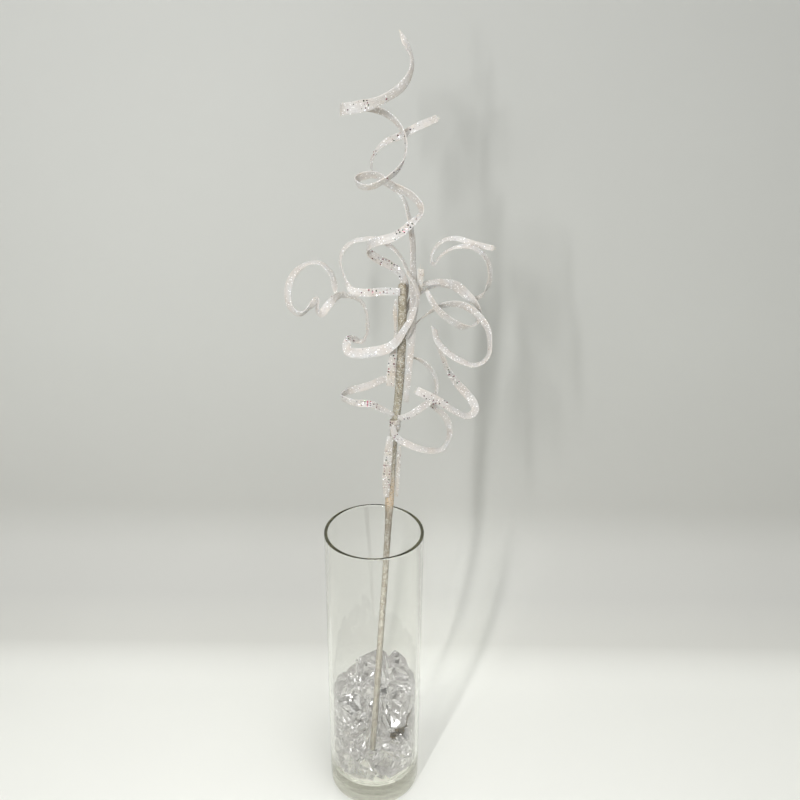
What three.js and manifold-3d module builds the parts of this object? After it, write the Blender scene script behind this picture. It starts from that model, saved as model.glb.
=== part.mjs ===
// A curly willow branch in a clear cylinder vase.
// A dark, nearly straight stick carries bleached and glittered strips of wood, which spring out of
// it in hoops and coils. It stands in a heavy-based glass cylinder, held up by clear acrylic chunks,
// and a small dried sprig is caught between the chunks and the glass.
// Units are millimetres, +Z is up, and the origin is the centre of the vase's flat underside.

import * as THREE from 'three';
import { ConvexGeometry } from 'three/addons/geometries/ConvexGeometry.js';
import { mergeVertices } from 'three/addons/utils/BufferGeometryUtils.js';
import Module from 'manifold-3d';

// ---- driving dimensions ----------------------------------------------------------------------

// heel rounds the outside of the foot, and well rounds the inside where the wall meets the floor.
const VASE = { height: 300, radius: 45, wall: 3, base: 22, heel: 6, well: 12, sides: 56 };

// The stick leans a little to the right. A thin lower end, which is wedged among the chunks and
// slopes back from the vase's front, carries a thicker upright one.
// Each station is a place on its middle line and its radius there.
const STICK = {
  sides: 10,
  stations: [
    { at: [-1.1, -27, 60.2], radius: 2.8 },
    { at: [1.7, -22.2, 108.5], radius: 2.9 },
    { at: [5.1, -16.4, 168.7], radius: 2.9 },
    { at: [7.8, -11.7, 216], radius: 2.9 },
    { at: [10.9, -6.4, 270.4], radius: 2.9 },
    { at: [12.5, -3.3, 302.5], radius: 3 },
    { at: [13.2, -1.7, 319.1], radius: 3.5 },
    { at: [13.8, 0, 336], radius: 4.2 },
    { at: [15, 0, 368], radius: 3.9 },
    { at: [17.5, 0, 403], radius: 3.4 },
    { at: [20, 0, 425], radius: 3.4 },
    { at: [21.7, 0, 450], radius: 3.6 },
    { at: [22.6, 0, 480], radius: 3.7 },
    { at: [23, 0, 508], radius: 3.6 },
    { at: [22.8, 0, 526], radius: 3.5 },
    { at: [22.6, 0, 531], radius: 2.9 },
  ],
};

// A strip of wood is drawn in steps, no step turning or running further than these.
const STRIP = { thickness: 0.8, stepDegrees: 14, stepLength: 9 };
const SEAT = 0.5; // what lies against the stick keeps this far from it

// Each strip is given by the points that it turns through, from its root on the stick to its free
// end: x, y, z, the width there, and how many degrees its flat face has turned about its run from
// looking at SEEN_FROM. Where that is null, the face is carried on from the points on both sides.
const SEEN_FROM = [0, -0.904, 0.427];
const CURLS = {
  leader_curl: [
    [24.3, 4.7, 512, 3, -13], [25, 5.6, 520, 5, null], [24.6, 6.8, 530, 6, -11],
    [20, 8.6, 538, 6.5, -15], [13, 9.6, 543, 7.2, 6], [4, 9, 548, 7.2, 6],
    [-5, 3, 558, 7.2, null], [2, -6, 566, 7.2, -1], [16, -9, 571, 7.2, -15],
    [29, -7, 581, 7.2, -33], [36.5, 0, 589.1, 6.8, -59], [29, 6.5, 599, 7.2, -56],
    [15, 7.5, 606, 7.2, -56], [-1, 6, 614.5, 7.2, -59], [-13, -1, 611, 7.2, null],
    [-4.8, -12, 608.6, 7.2, 74], [7.4, -18, 614.1, 6.8, 72], [19.2, -12, 622.7, 4.9, 68],
    [24.1, 0, 634, 2.8, -58], [20, 10, 648, 5.7, -67], [7.3, 18, 657.8, 7, -64],
    [-9.9, 15, 661.5, 6.6, -64], [-23.6, 3, 661.4, 8.8, [-1, 0, 0.1]], [-12, -12, 664.8, 8.8, 6],
    [5, -20, 670.2, 7.4, 52], [21, -16, 680, 7.2, 48], [27.3, -5, 690.3, 5.3, 62],
    [27, 4, 698, 3.8, 51], [23, 8, 706, 7.2, 44], [19, 10, 713.5, 1.3, -11],
  ],
  second_curl: [
    [26.8, 0, 428, 4.5, 13], [28.4, 0, 450, 5, 2], [30.2, 0, 478, 6, 1], [31.2, 0, 500, 6, 1],
    [31.4, 0, 520, 5.5, 0], [31, 0, 544, 6.8, 47], [30, 3, 566, 6.8, 50],
    [27, 9, 582.5, 5.7, 55], [21, 16, 597, 4.6, 50], [11, 20, 603.5, 4.6, 47],
    [2, 17, 610, 3, 46], [-2, 10, 620.5, 2.7, -55], [1, 6, 630.5, 3.8, -47],
    [8.6, 8, 637.7, 6.8, -36], [21, 15, 642, 6.8, -21], [34, 15, 649, 6.8, -15],
    [46.8, 9, 655.2, 5, 22],
  ],
  left_hoop: [
    [26.2, -3.2, 486, 3, 44], [29.5, -4.4, 493, 3, null], [32, -5, 501, 3, null],
    [34, -5.8, 513, 4, null], [35, -6.4, 525, 3.5, 34], [32, -6.8, 534, 4.4, 49],
    [27, -5.2, 542, 4.2, 54], [22.5, 0.5, 550.4, 3.8, 53], [15, 6, 558, 4.4, 42],
    [6, 9, 563, 4.4, 8], [-6.1, 10, 564, 4.4, 20], [-17.4, 8, 561.8, 4.4, 36],
    [-24, 4, 556, 4.4, 42], [-26, 0, 548, 3.4, 54], [-24, -4, 541, 3, 57],
    [-21, -8, 535.2, 3.4, 59], [-17, -11, 529.2, 5.4, 4], [-9, -11, 527.2, 6.2, 7],
    [8, -8, 527.2, 6.4, 7], [21, -5, 526.2, 6, 7],
  ],
  left_coil: [
    [32.8, -8.4, 515, 3.5, 0], [30.3, -8.6, 506.5, 4.5, 0], [24.2, -8.6, 495, 5.5, 0],
    [17.2, -8, 484, 7, 0], [10, -8.7, 479, 8.4, -3], [-1, -10, 477, 8.4, -3],
    [-13, -9.5, 475.5, 8.2, -3], [-20.4, -6, 476, 7.6, 1], [-21.8, -1, 480.5, 6.5, 5],
    [-19.4, 4, 483, 6.4, -13], [-15.3, 8, 480.5, 6.4, -35], [-10.2, 9.5, 478.5, 5.7, -54],
    [-6.7, 9, 483.5, 2.8, -54], [-5, 8, 492, 3.8, -55], [-5.6, 7.4, 500, 3.8, -57],
    [-7, 6.5, 508, 3.4, -58], [-10, 5.5, 514, 4.2, -61], [-15, 4, 518, 5.7, -64],
    [-23, 1, 521, 6.4, -52], [-29, -5, 521.5, 6.4, -47], [-35.5, -8.5, 515.5, 6.4, -8],
    [-41.5, -9, 509, 6.4, -27], [-44.5, -4.5, 510.5, 5.7, -55], [-44.5, 1, 516.5, 5.7, -62],
    [-50.5, 2.5, 510.5, 6.4, -64], [-59, -3, 506, 6.4, -63], [-66, -1, 511, 6.4, -44],
    [-68, 0, 520, 6.4, -27], [-66, 0, 531, 6.4, -19], [-60, 0, 541, 6.4, -35],
    [-51, -1, 547, 4.9, -48], [-42, -2, 548, 4.9, -51], [-35, -4, 543, 6.4, -54],
    [-31, -6, 535, 6.4, -49], [-30, -8, 526, 3, -5],
  ],
  left_bow: [
    [19.6, 4.2, 452, 4, -38], [12, 7, 447, 5.5, -27], [6.4, 9, 444.3, 6.2, 13],
    [-4, 11, 438, 6.5, -2], [-15, 10, 435, 6.5, -2], [-24, 5, 434, 6.2, -46],
    [-27, -1, 433, 4.9, null], [-23, -7, 433, 6.2, 48], [-14, -11, 432, 6.2, 27],
    [-2.7, -11, 431.2, 6.2, -28], [7, -8, 425, 5, -18], [16.4, -3.9, 417.5, 4, 20],
  ],
  right_coil: [
    [25.7, 3.7, 504, 2.5, -30], [29.5, 5, 518, 2.5, null], [36, 5.5, 527, 3, null],
    [45, 8, 530, 6.4, -46], [56, 12, 529, 6.4, -24], [67, 16, 524, 8.4, 9],
    [76, 15, 516.5, 7.2, 8], [83, 12, 510.5, 6.4, 64], [86, 8, 503, 4.2, 64],
    [82, 1, 498, 4.9, 58], [72, -6, 497.7, 6.4, -55], [63.5, -9, 502.9, 6.4, -48],
    [54.2, -10, 510.2, 6.4, -49], [47, -8, 518.2, 6.4, -54], [42.1, -3, 526.6, 3, -4],
  ],
  right_long_spiral: [
    [25.8, 3.5, 488, 1.2, -10], [31, 4.6, 493.5, 1.3, null], [40.4, 3, 503, 1.4, null],
    [46, 0, 508.5, 3.8, 63], [53, -1, 513, 6.2, 59], [65, 0.5, 515, 6.2, 46],
    [77, 0, 511, 6.2, 37], [85.4, -3, 504.4, 6.2, 40], [91, -7, 497, 6.2, 49],
    [92.7, -12, 487.9, 6.2, 60], [91, -18, 477, 5.3, 62], [82, -22, 472, 6.2, 56],
    [70, -24, 476, 6.2, 39], [58, -22, 483, 6.2, 38], [50.4, -18.5, 491.4, 6.2, 41],
    [48.3, -14, 499, 5.7, null], [48.3, -8, 496.5, 5.7, null], [50.5, -3, 488, 6.2, 53],
    [54, 1, 477, 6.2, 47], [57, 3.5, 467.5, 6.2, 59], [60, 5, 458.5, 6.2, 54],
    [65, 7, 449, 6.2, 32], [74, 8, 437, 7, 4], [83, 5, 427, 7, 4], [85, -2, 422.3, 6.6, 6],
    [80, -8, 420, 6.2, 24], [67, -12, 426, 6.2, 35], [55, -13, 435, 6.2, -1],
    [44.4, -12, 439.7, 7, -1], [35.4, -10, 443.5, 6.5, -1],
  ],
  top_ring: [
    [24.4, 4.4, 494, 2.5, -17], [29, 9, 511, 2.5, null], [39, 14, 521, 4.2, -39],
    [53, 20, 524, 4.2, -37], [68, 24, 519, 4.2, -28], [80, 23, 512, 4.2, -28],
    [87, 16, 517, 4.2, -47], [91, 7, 528.5, 4.2, 39], [91.4, 1, 539.9, 4.2, 19],
    [88, -3, 552, 4.2, 22], [81, -6, 560, 4.2, 24], [71, -8, 564, 4.2, 34],
    [60, -8, 562, 3.8, 50], [52, -6, 556, 2.8, 52], [47, -2, 548, 2.7, null],
    [45, 4, 549, 3, -62], [47, 9, 556, 3.8, -55], [54, 11, 563, 4.2, -40],
    [64, 9, 565.6, 4.2, -11], [73.6, 6, 563.7, 4.5, 11], [83.8, 4, 561.3, 4.8, 11],
    [93, 2, 560, 4.2, 11],
  ],
  low_arc: [
    [20.3, -4.3, 416, 4, 34], [24.1, -5.8, 416.3, 5.5, null], [30.3, -7, 419.3, 5.8, 14],
    [39, -7, 426, 6, -1], [47.4, -4, 431.6, 5.8, -32], [52.2, 0, 439.2, 4.6, -60],
    [51.2, 5, 447.7, 5.8, -60], [46.5, 8, 455.5, 5.8, -52], [40, 8, 462, 4.9, -61],
    [31.5, 6.5, 466, 2, null],
  ],
  low_hoop: [
    [17.2, -6, 409, 4, -8], [17.4, -6.4, 402, 6, 9], [21, -7.3, 397, 6, null],
    [28, -8, 393, 6, -2], [38, -9, 389, 6, -24], [48, -7, 386, 6, -29], [58, -2, 385, 6, -50],
    [62.7, 3, 388.9, 6, -62], [65.1, 7, 395.9, 6, -43], [63.6, 9, 404.3, 6, -28],
    [57.9, 9, 413.8, 6, -32], [51, 7, 421, 6, -35], [46, 5, 428, 4, -2],
  ],
};

// Flat strips that lie along the stick, and a short frayed spur that stands beside it.
const LAID_STRIPS = {
  laid_strip_top_left: [
    [13.6, -1, 443, 6.5, 0], [14.4, -0.7, 456, 7.5, 0], [15.3, -0.5, 468, 6, 0],
    [17, 0, 480, 2.6, 0], [17.5, 0.4, 497, 2.4, 0], [17, 0.8, 508, 4, 0], [17.9, 1, 518, 2, 0],
  ],
  laid_strip_front_left: [
    [10.8, -5.2, 338, 5, 0], [11.2, -5.1, 356, 7.4, 0], [12.2, -4.9, 378, 7.4, 0],
    [14.4, -4.5, 398, 6, 0],
  ],
  laid_strip_right: [
    [20, 1, 335, 2.5, 0], [20.6, 1, 352, 3.5, 0], [21.2, 1, 370, 3.5, 0], [22.1, 1, 386, 2.5, 0],
  ],
  frayed_spur: [
    [36.4, -0.4, 523, 2.5, 0], [36.8, 0, 532, 4.5, 0], [37, 0.6, 543, 5, 0],
  ],
};

const WRAPPING = { from: 402, turns: 2.4, pitch: 4.9, width: 4.2, endWidth: 2.6, perTurn: 14 };

// Clear acrylic chunks, heaped in the lower half of the vase, lower at the left. None lies in the slot
// between the stick and the front of the glass.
const FILL = {
  seed: 11, chunks: 38, top: 129, leftTop: 117, leftOf: -12, topSpread: 5, tilt: 0.22, wallPlanes: 24, wallGap: 1,
  floorGap: 0.7, halfGap: 0.3, corners: 8, cornerDepth: 0.2, nearest: 16, tries: 40, inset: 8,
  lowZone: 36,
  slot: [[-1.4, -38, 64], [5, -33, 150]],
  slotRoom: 7.5,
  stickRoom: 0.7,
};

const SPRIG = {
  seed: 7,
  twig: [[37.2, -8, 101], [35, -14, 97.5], [32, -20.5, 96], [31.2, -22, 90], [31.8, -20.5, 84]],
  twigRadius: 0.7,
  twigSides: 6,
  taper: 0.3,
  stepDegrees: 30,
  stepLength: 6,
  spur: [[31.4, -21.4, 87], [27.4, -25, 87.5], [23.5, -27.8, 86.5], [20, -29.8, 84]],
  spurRadius: 1.1,
  heads: [[26.8, -24.9, 83.5], [23, -27.8, 86.5], [18.8, -30.2, 83]],
  headRadius: 2.6,
  buds: 11,
  budLength: 4.8,
  budWidth: 3,
  budSides: 5,
  twigRoom: 1.6,
  headRoom: 6.4,
};

const LOOKS = {
  glass: { color: 0xdfe6e2, roughness: 0.05, transparent: true, opacity: 0.35 },
  ice: { color: 0xe9eef0, roughness: 0.1, transparent: true, opacity: 0.6 },
  bark: { color: 0x5b4a34, roughness: 0.8 },
  strip: { color: 0xeceae2, roughness: 0.55 },
  laid: { color: 0xdcd6c6, roughness: 0.6 },
  sprig: { color: 0x4a3a22, roughness: 0.85 },
};

// ---- small tools -----------------------------------------------------------------------------

const GOLDEN_ANGLE = Math.PI * (3 - Math.sqrt(5));
const PARALLEL = 1e-4; // planes whose normals span less than this don't meet in one point
const TOUCHING = 1e-6; // a point this little outside a plane still counts as on it

const vector = (point) => new THREE.Vector3().fromArray(point);

// A repeatable source of even random numbers from 0 to 1.
function randomFrom(seed) {
  let state = seed;
  return () => {
    state = (state * 1664525 + 1013904223) % 4294967296;
    return state / 4294967296;
  };
}

// ---- curves ----------------------------------------------------------------------------------

// A smooth route through points. Each stretch bends like a circular arc, because the tangent at a
// point is that of the circle through it and its two neighbours.
class BentRoute {
  constructor(route) {
    this.points = route.map(vector);
    this.widths = route.map((point) => point[3]);
    this.looks = route.map((point) => point[4]);
    const last = this.points.length - 1;
    this.tangents = this.points.map((point, i) => {
      if (i === 0 || i === last) return new THREE.Vector3();
      const before = point.clone().sub(this.points[i - 1]);
      const after = this.points[i + 1].clone().sub(point);
      const blend = before.clone().setLength(after.length());
      return blend.add(after.clone().setLength(before.length())).normalize();
    });
    this.tangents[0] = this.endTangent(0, 1);
    this.tangents[last] = this.endTangent(last, last - 1);
  }

  endTangent(end, inner) {
    const chord = this.points[end].clone().sub(this.points[inner]).normalize();
    const along = this.tangents[inner].dot(chord);
    return chord.multiplyScalar(2 * along).sub(this.tangents[inner]);
  }

  turn(i) {
    return this.tangents[i].angleTo(this.tangents[i + 1]);
  }

  place(i, t) {
    const reach = this.points[i].distanceTo(this.points[i + 1]) / Math.cos(this.turn(i) / 4) ** 2;
    const t2 = t * t;
    const t3 = t2 * t;
    return new THREE.Vector3()
      .addScaledVector(this.points[i], 2 * t3 - 3 * t2 + 1)
      .addScaledVector(this.tangents[i], reach * (t3 - 2 * t2 + t))
      .addScaledVector(this.points[i + 1], 3 * t2 - 2 * t3)
      .addScaledVector(this.tangents[i + 1], reach * (t3 - t2));
  }

  // Places along the route, close together where it bends, with the width at each of them and how
  // far along it lies. knots holds the place number of each point of the route.
  samples(stepDegrees, stepLength) {
    const places = [this.points[0].clone()];
    const widths = [this.widths[0]];
    const knots = [0];
    for (let i = 0; i < this.points.length - 1; i += 1) {
      const bend = THREE.MathUtils.radToDeg(this.turn(i)) / stepDegrees;
      const length = this.points[i].distanceTo(this.points[i + 1]) / stepLength;
      const steps = Math.max(1, Math.ceil(bend), Math.ceil(length));
      for (let k = 1; k <= steps; k += 1) {
        places.push(this.place(i, k / steps));
        widths.push(THREE.MathUtils.lerp(this.widths[i], this.widths[i + 1], k / steps));
      }
      knots.push(places.length - 1);
    }
    const run = [0];
    for (let i = 1; i < places.length; i += 1) {
      run.push(run[i - 1] + places[i].distanceTo(places[i - 1]));
    }
    return { places, widths, knots, run, looks: this.looks };
  }
}

function tangentsOf(places) {
  return places.map((_, i) => {
    const before = places[Math.max(i - 1, 0)];
    const after = places[Math.min(i + 1, places.length - 1)];
    return after.clone().sub(before).normalize();
  });
}

// The way that a strip's flat face looks at each place. It is given at the points of the route, and
// between them the twist eases from one to the next. Both sides of a strip are alike, so the next
// one is taken as the nearer of two opposite turns.
function facesOf({ places, knots, run, looks }, tangents) {
  const level = (place) => {
    const across = vector(SEEN_FROM);
    return across.addScaledVector(tangents[place], -across.dot(tangents[place])).normalize();
  };
  const carried = [level(0)];
  for (let i = 1; i < places.length; i += 1) {
    const face = carried[i - 1].clone();
    carried.push(face.addScaledVector(tangents[i], -face.dot(tangents[i])).normalize());
  }
  const stops = [];
  looks.forEach((look, point) => {
    if (look === null) return;
    const place = knots[point];
    const wanted = Array.isArray(look) ? vector(look) : level(place);
    if (!Array.isArray(look)) wanted.applyAxisAngle(tangents[place], THREE.MathUtils.degToRad(look));
    const sine = carried[place].clone().cross(wanted).dot(tangents[place]);
    const angle = Math.atan2(sine, carried[place].dot(wanted));
    const before = stops.length ? stops[stops.length - 1].twist : 0;
    stops.push({ at: run[place], twist: angle - Math.PI * Math.round((angle - before) / Math.PI) });
  });
  const slopes = stops.map((_, k) => {
    const before = stops[Math.max(k - 1, 0)];
    const after = stops[Math.min(k + 1, stops.length - 1)];
    return after === before ? 0 : (after.twist - before.twist) / (after.at - before.at);
  });
  return places.map((_, i) => {
    const next = stops.findIndex(({ at }) => at > run[i]);
    if (next <= 0) {
      const end = next === 0 ? stops[0] : stops[stops.length - 1];
      return carried[i].clone().applyAxisAngle(tangents[i], end.twist);
    }
    const [a, b] = [stops[next - 1], stops[next]];
    const reach = b.at - a.at;
    const t = (run[i] - a.at) / reach;
    const t2 = t * t;
    const t3 = t2 * t;
    const twist = a.twist * (2 * t3 - 3 * t2 + 1) + slopes[next - 1] * reach * (t3 - 2 * t2 + t)
      + b.twist * (3 * t2 - 2 * t3) + slopes[next] * reach * (t3 - t2);
    return carried[i].clone().applyAxisAngle(tangents[i], twist);
  });
}

// ---- solids ----------------------------------------------------------------------------------

// Joins rings of corners into one closed body with flat ends. A ring runs anticlockwise, seen from
// the end that the rings lead to. Opposite sides are cut along matching diagonals, so the two faces
// of a thin strip stay parallel where it twists.
function loftGeometry(rings) {
  const sides = rings[0].length;
  const triangles = [];
  for (let i = 0; i < rings.length - 1; i += 1) {
    for (let k = 0; k < sides; k += 1) {
      const a = i * sides + k;
      const b = i * sides + ((k + 1) % sides);
      const c = b + sides;
      const d = a + sides;
      if (k < sides / 2) triangles.push(a, b, c, a, c, d);
      else triangles.push(a, b, d, b, c, d);
    }
  }
  const last = (rings.length - 1) * sides;
  for (let k = 1; k < sides - 1; k += 1) {
    triangles.push(0, k + 1, k);
    triangles.push(last, last + k, last + k + 1);
  }
  const geometry = new THREE.BufferGeometry();
  const positions = rings.flat().flatMap((corner) => corner.toArray());
  geometry.setAttribute('position', new THREE.Float32BufferAttribute(positions, 3));
  geometry.setIndex(triangles);
  return geometry;
}

function stripGeometry(route) {
  const samples = new BentRoute(route).samples(STRIP.stepDegrees, STRIP.stepLength);
  const { places, widths } = samples;
  const tangents = tangentsOf(places);
  const faces = facesOf(samples, tangents);
  const corners = [[-1, -1], [1, -1], [1, 1], [-1, 1]];
  const rings = places.map((centre, i) => {
    const across = new THREE.Vector3().crossVectors(faces[i], tangents[i]);
    across.multiplyScalar(widths[i] / 2);
    const out = faces[i].clone().multiplyScalar(STRIP.thickness / 2);
    return corners.map(([side, up]) => (
      centre.clone().addScaledVector(across, side).addScaledVector(out, up)));
  });
  return loftGeometry(rings);
}

// A round rod through places, with a radius at each of them.
function rodGeometry(places, radii, sides) {
  const right = new THREE.Vector3(1, 0, 0);
  const rings = tangentsOf(places).map((tangent, i) => {
    right.addScaledVector(tangent, -right.dot(tangent)).normalize();
    const up = tangent.clone().cross(right);
    return Array.from({ length: sides }, (_, k) => {
      const angle = (2 * Math.PI * k) / sides;
      return places[i].clone()
        .addScaledVector(right, radii[i] * Math.cos(angle))
        .addScaledVector(up, radii[i] * Math.sin(angle));
    });
  });
  return loftGeometry(rings);
}

function stickGeometry() {
  const places = STICK.stations.map(({ at }) => vector(at));
  return rodGeometry(places, STICK.stations.map(({ radius }) => radius), STICK.sides);
}

// The middle of the stick and its radius at a height.
function stickAt(height) {
  const above = STICK.stations.findIndex(({ at }) => at[2] >= height);
  const low = STICK.stations[above - 1];
  const high = STICK.stations[above];
  const share = (height - low.at[2]) / (high.at[2] - low.at[2]);
  return {
    centre: vector(low.at).lerp(vector(high.at), share),
    radius: THREE.MathUtils.lerp(low.radius, high.radius, share),
  };
}

// The wrapping is one more flat strip, wound round the stick in a tight coil.
function wrappingGeometry() {
  const { width, endWidth } = WRAPPING;
  const count = Math.round(WRAPPING.turns * WRAPPING.perTurn);
  const route = Array.from({ length: count + 1 }, (_, i) => {
    const turned = i / WRAPPING.perTurn;
    const height = WRAPPING.from + WRAPPING.pitch * turned;
    const { centre, radius } = stickAt(height);
    const reach = radius + SEAT + STRIP.thickness / 2;
    const angle = 2 * Math.PI * turned;
    const fromEnd = Math.min(i, count - i) / WRAPPING.perTurn;
    return [
      centre.x + reach * Math.cos(angle),
      centre.y + reach * Math.sin(angle),
      height,
      THREE.MathUtils.lerp(endWidth, width, Math.min(2 * fromEnd, 1)),
      [Math.cos(angle), Math.sin(angle), 0],
    ];
  });
  return stripGeometry(route);
}

function arcPoints(centreR, centreZ, radius, fromDegrees, toDegrees, steps) {
  return Array.from({ length: steps + 1 }, (_, i) => {
    const angle = THREE.MathUtils.degToRad(
      THREE.MathUtils.lerp(fromDegrees, toDegrees, i / steps));
    return new THREE.Vector2(
      centreR + radius * Math.cos(angle), centreZ + radius * Math.sin(angle));
  });
}

// Keeps only the corners, one at each place, and the triangles that aren't squashed flat.
function bareGeometry(geometry) {
  geometry.deleteAttribute('normal');
  geometry.deleteAttribute('uv');
  const merged = mergeVertices(geometry, 1e-3);
  const index = Array.from(merged.index.array);
  const kept = [];
  for (let i = 0; i < index.length; i += 3) {
    const [a, b, c] = index.slice(i, i + 3);
    if (a !== b && b !== c && c !== a) kept.push(a, b, c);
  }
  merged.setIndex(kept);
  return merged;
}

function vaseGeometry() {
  const { height, radius, wall, base, heel, well, sides } = VASE;
  const inner = radius - wall;
  const lip = wall / 2;
  const profile = [
    new THREE.Vector2(0, 0),
    ...arcPoints(radius - heel, heel, heel, -90, 0, 3),
    ...arcPoints(radius - lip, height - lip, lip, 0, 180, 4),
    ...arcPoints(inner - well, base + well, well, 0, -90, 3),
    new THREE.Vector2(0, base),
  ];
  return bareGeometry(new THREE.LatheGeometry(profile, sides).rotateX(Math.PI / 2));
}

// ---- the acrylic chunks ----------------------------------------------------------------------

// Corners of the space inside all the planes, found as the meeting points of three planes.
function cornersInside(planes) {
  const corners = [];
  const across = new THREE.Vector3();
  const corner = new THREE.Vector3();
  const part = new THREE.Vector3();
  for (let i = 0; i < planes.length; i += 1) {
    for (let j = i + 1; j < planes.length; j += 1) {
      across.crossVectors(planes[i].normal, planes[j].normal);
      for (let k = j + 1; k < planes.length; k += 1) {
        const volume = across.dot(planes[k].normal);
        if (Math.abs(volume) < PARALLEL) continue;
        corner.crossVectors(planes[j].normal, planes[k].normal).multiplyScalar(-planes[i].constant);
        part.crossVectors(planes[k].normal, planes[i].normal);
        corner.addScaledVector(part, -planes[j].constant);
        corner.addScaledVector(across, -planes[k].constant).divideScalar(volume);
        if (planes.every((plane) => plane.distanceToPoint(corner) < TOUCHING)) {
          corners.push(corner.clone());
        }
      }
    }
  }
  return corners;
}

function planeThrough(normal, point) {
  return new THREE.Plane().setFromNormalAndCoplanarPoint(normal, point);
}

// The plane that keeps a chunk on its own side of a rod, with some room between them.
function planeBeside(middle, { from, to, room }) {
  const near = new THREE.Line3(from, to).closestPointToPoint(middle, true, new THREE.Vector3());
  const normal = near.clone().sub(middle).normalize();
  return planeThrough(normal, near.addScaledVector(normal, -room));
}

function keptClear() {
  const { twig, spur, twigRoom, headRoom } = SPRIG;
  const [foot, , , high] = STICK.stations;
  const [slotFoot, slotTop] = FILL.slot;
  return [
    { from: vector(foot.at), to: vector(high.at), room: high.radius + FILL.stickRoom },
    { from: vector(slotFoot), to: vector(slotTop), room: FILL.slotRoom },
    { from: vector(twig[0]), to: vector(twig[2]), room: twigRoom },
    { from: vector(twig[2]), to: vector(twig[4]), room: twigRoom },
    { from: vector(spur[0]), to: vector(spur[3]), room: headRoom },
  ];
}

function heapTop(x) {
  return x < FILL.leftOf ? FILL.leftTop : FILL.top;
}

// Middles spread evenly through the heap: each is the one of many random places that lies furthest
// from those before it.
function chunkMiddles(random) {
  const reach = VASE.radius - VASE.wall - FILL.inset;
  const low = VASE.base + FILL.inset;
  const middles = [];
  while (middles.length < FILL.chunks) {
    let best = null;
    let bestRoom = -1;
    for (let i = 0; i < FILL.tries; i += 1) {
      const angle = 2 * Math.PI * random();
      const out = reach * Math.sqrt(random());
      const x = out * Math.cos(angle);
      const up = THREE.MathUtils.lerp(low, heapTop(x) - FILL.inset, random());
      const middle = new THREE.Vector3(x, out * Math.sin(angle), up);
      const fits = keptClear().every((rod) => (
        planeBeside(middle, rod).distanceToPoint(middle) < -FILL.inset / 2));
      const room = Math.min(...middles.map((other) => other.distanceTo(middle)));
      if (fits && room > bestRoom) {
        best = middle;
        bestRoom = room;
      }
    }
    if (best) middles.push(best);
  }
  return middles;
}

function chunkGeometry(middle, middles, random) {
  const planes = [planeThrough(
    new THREE.Vector3(0, 0, -1), new THREE.Vector3(0, 0, VASE.base + FILL.floorGap))];
  const others = middles.filter((other) => other !== middle)
    .sort((a, b) => a.distanceTo(middle) - b.distanceTo(middle))
    .slice(0, FILL.nearest);
  for (const other of others) {
    const normal = other.clone().sub(middle).normalize();
    const half = other.clone().add(middle).multiplyScalar(0.5);
    planes.push(planeThrough(normal, half.addScaledVector(normal, -FILL.halfGap)));
  }
  const wall = VASE.radius - VASE.wall - FILL.wallGap;
  for (let i = 0; i < FILL.wallPlanes; i += 1) {
    const angle = (2 * Math.PI * i) / FILL.wallPlanes;
    const outward = new THREE.Vector3(Math.cos(angle), Math.sin(angle), 0);
    if (outward.dot(middle) < 0) continue;
    planes.push(new THREE.Plane(outward, -wall));
    if (middle.z > VASE.base + FILL.lowZone) continue;
    const corner = outward.clone().multiplyScalar(wall).setZ(VASE.base + VASE.well);
    planes.push(planeThrough(outward.clone().setZ(-1).normalize(), corner));
  }
  const lean = new THREE.Vector3(
    FILL.tilt * (2 * random() - 1), FILL.tilt * (2 * random() - 1), 1).normalize();
  const top = heapTop(middle.x) + FILL.topSpread * (random() - 0.5);
  planes.push(planeThrough(lean, new THREE.Vector3(middle.x, middle.y, top)));
  for (const rod of keptClear()) planes.push(planeBeside(middle, rod));

  const whole = cornersInside(planes);
  for (let i = 0; i < FILL.corners; i += 1) {
    const height = 2 * random() - 1;
    const angle = 2 * Math.PI * random();
    const flat = Math.sqrt(1 - height * height);
    const normal = new THREE.Vector3(flat * Math.cos(angle), flat * Math.sin(angle), height);
    const far = Math.max(...whole.map((corner) => corner.clone().sub(middle).dot(normal)));
    const cut = middle.clone().addScaledVector(normal, far * (1 - FILL.cornerDepth));
    planes.push(planeThrough(normal, cut));
  }
  return bareGeometry(new ConvexGeometry(cornersInside(planes)));
}

// ---- the dried sprig -------------------------------------------------------------------------

const wasm = await Module();
wasm.setup();

function solidOf(geometry) {
  const bare = bareGeometry(geometry);
  return new wasm.Manifold(new wasm.Mesh({
    numProp: 3,
    vertProperties: new Float32Array(bare.attributes.position.array),
    triVerts: new Uint32Array(bare.index.array),
  }));
}

function geometryOf(solid) {
  const mesh = solid.getMesh();
  const geometry = new THREE.BufferGeometry();
  geometry.setAttribute('position', new THREE.BufferAttribute(mesh.vertProperties, 3));
  geometry.setIndex(new THREE.BufferAttribute(mesh.triVerts, 1));
  return geometry;
}

function twigSolid(route, radius) {
  const { places } = new BentRoute(route).samples(SPRIG.stepDegrees, SPRIG.stepLength);
  const radii = places.map((_, i) => radius * (1 - (SPRIG.taper * i) / places.length));
  return solidOf(rodGeometry(places, radii, SPRIG.twigSides));
}

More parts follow.
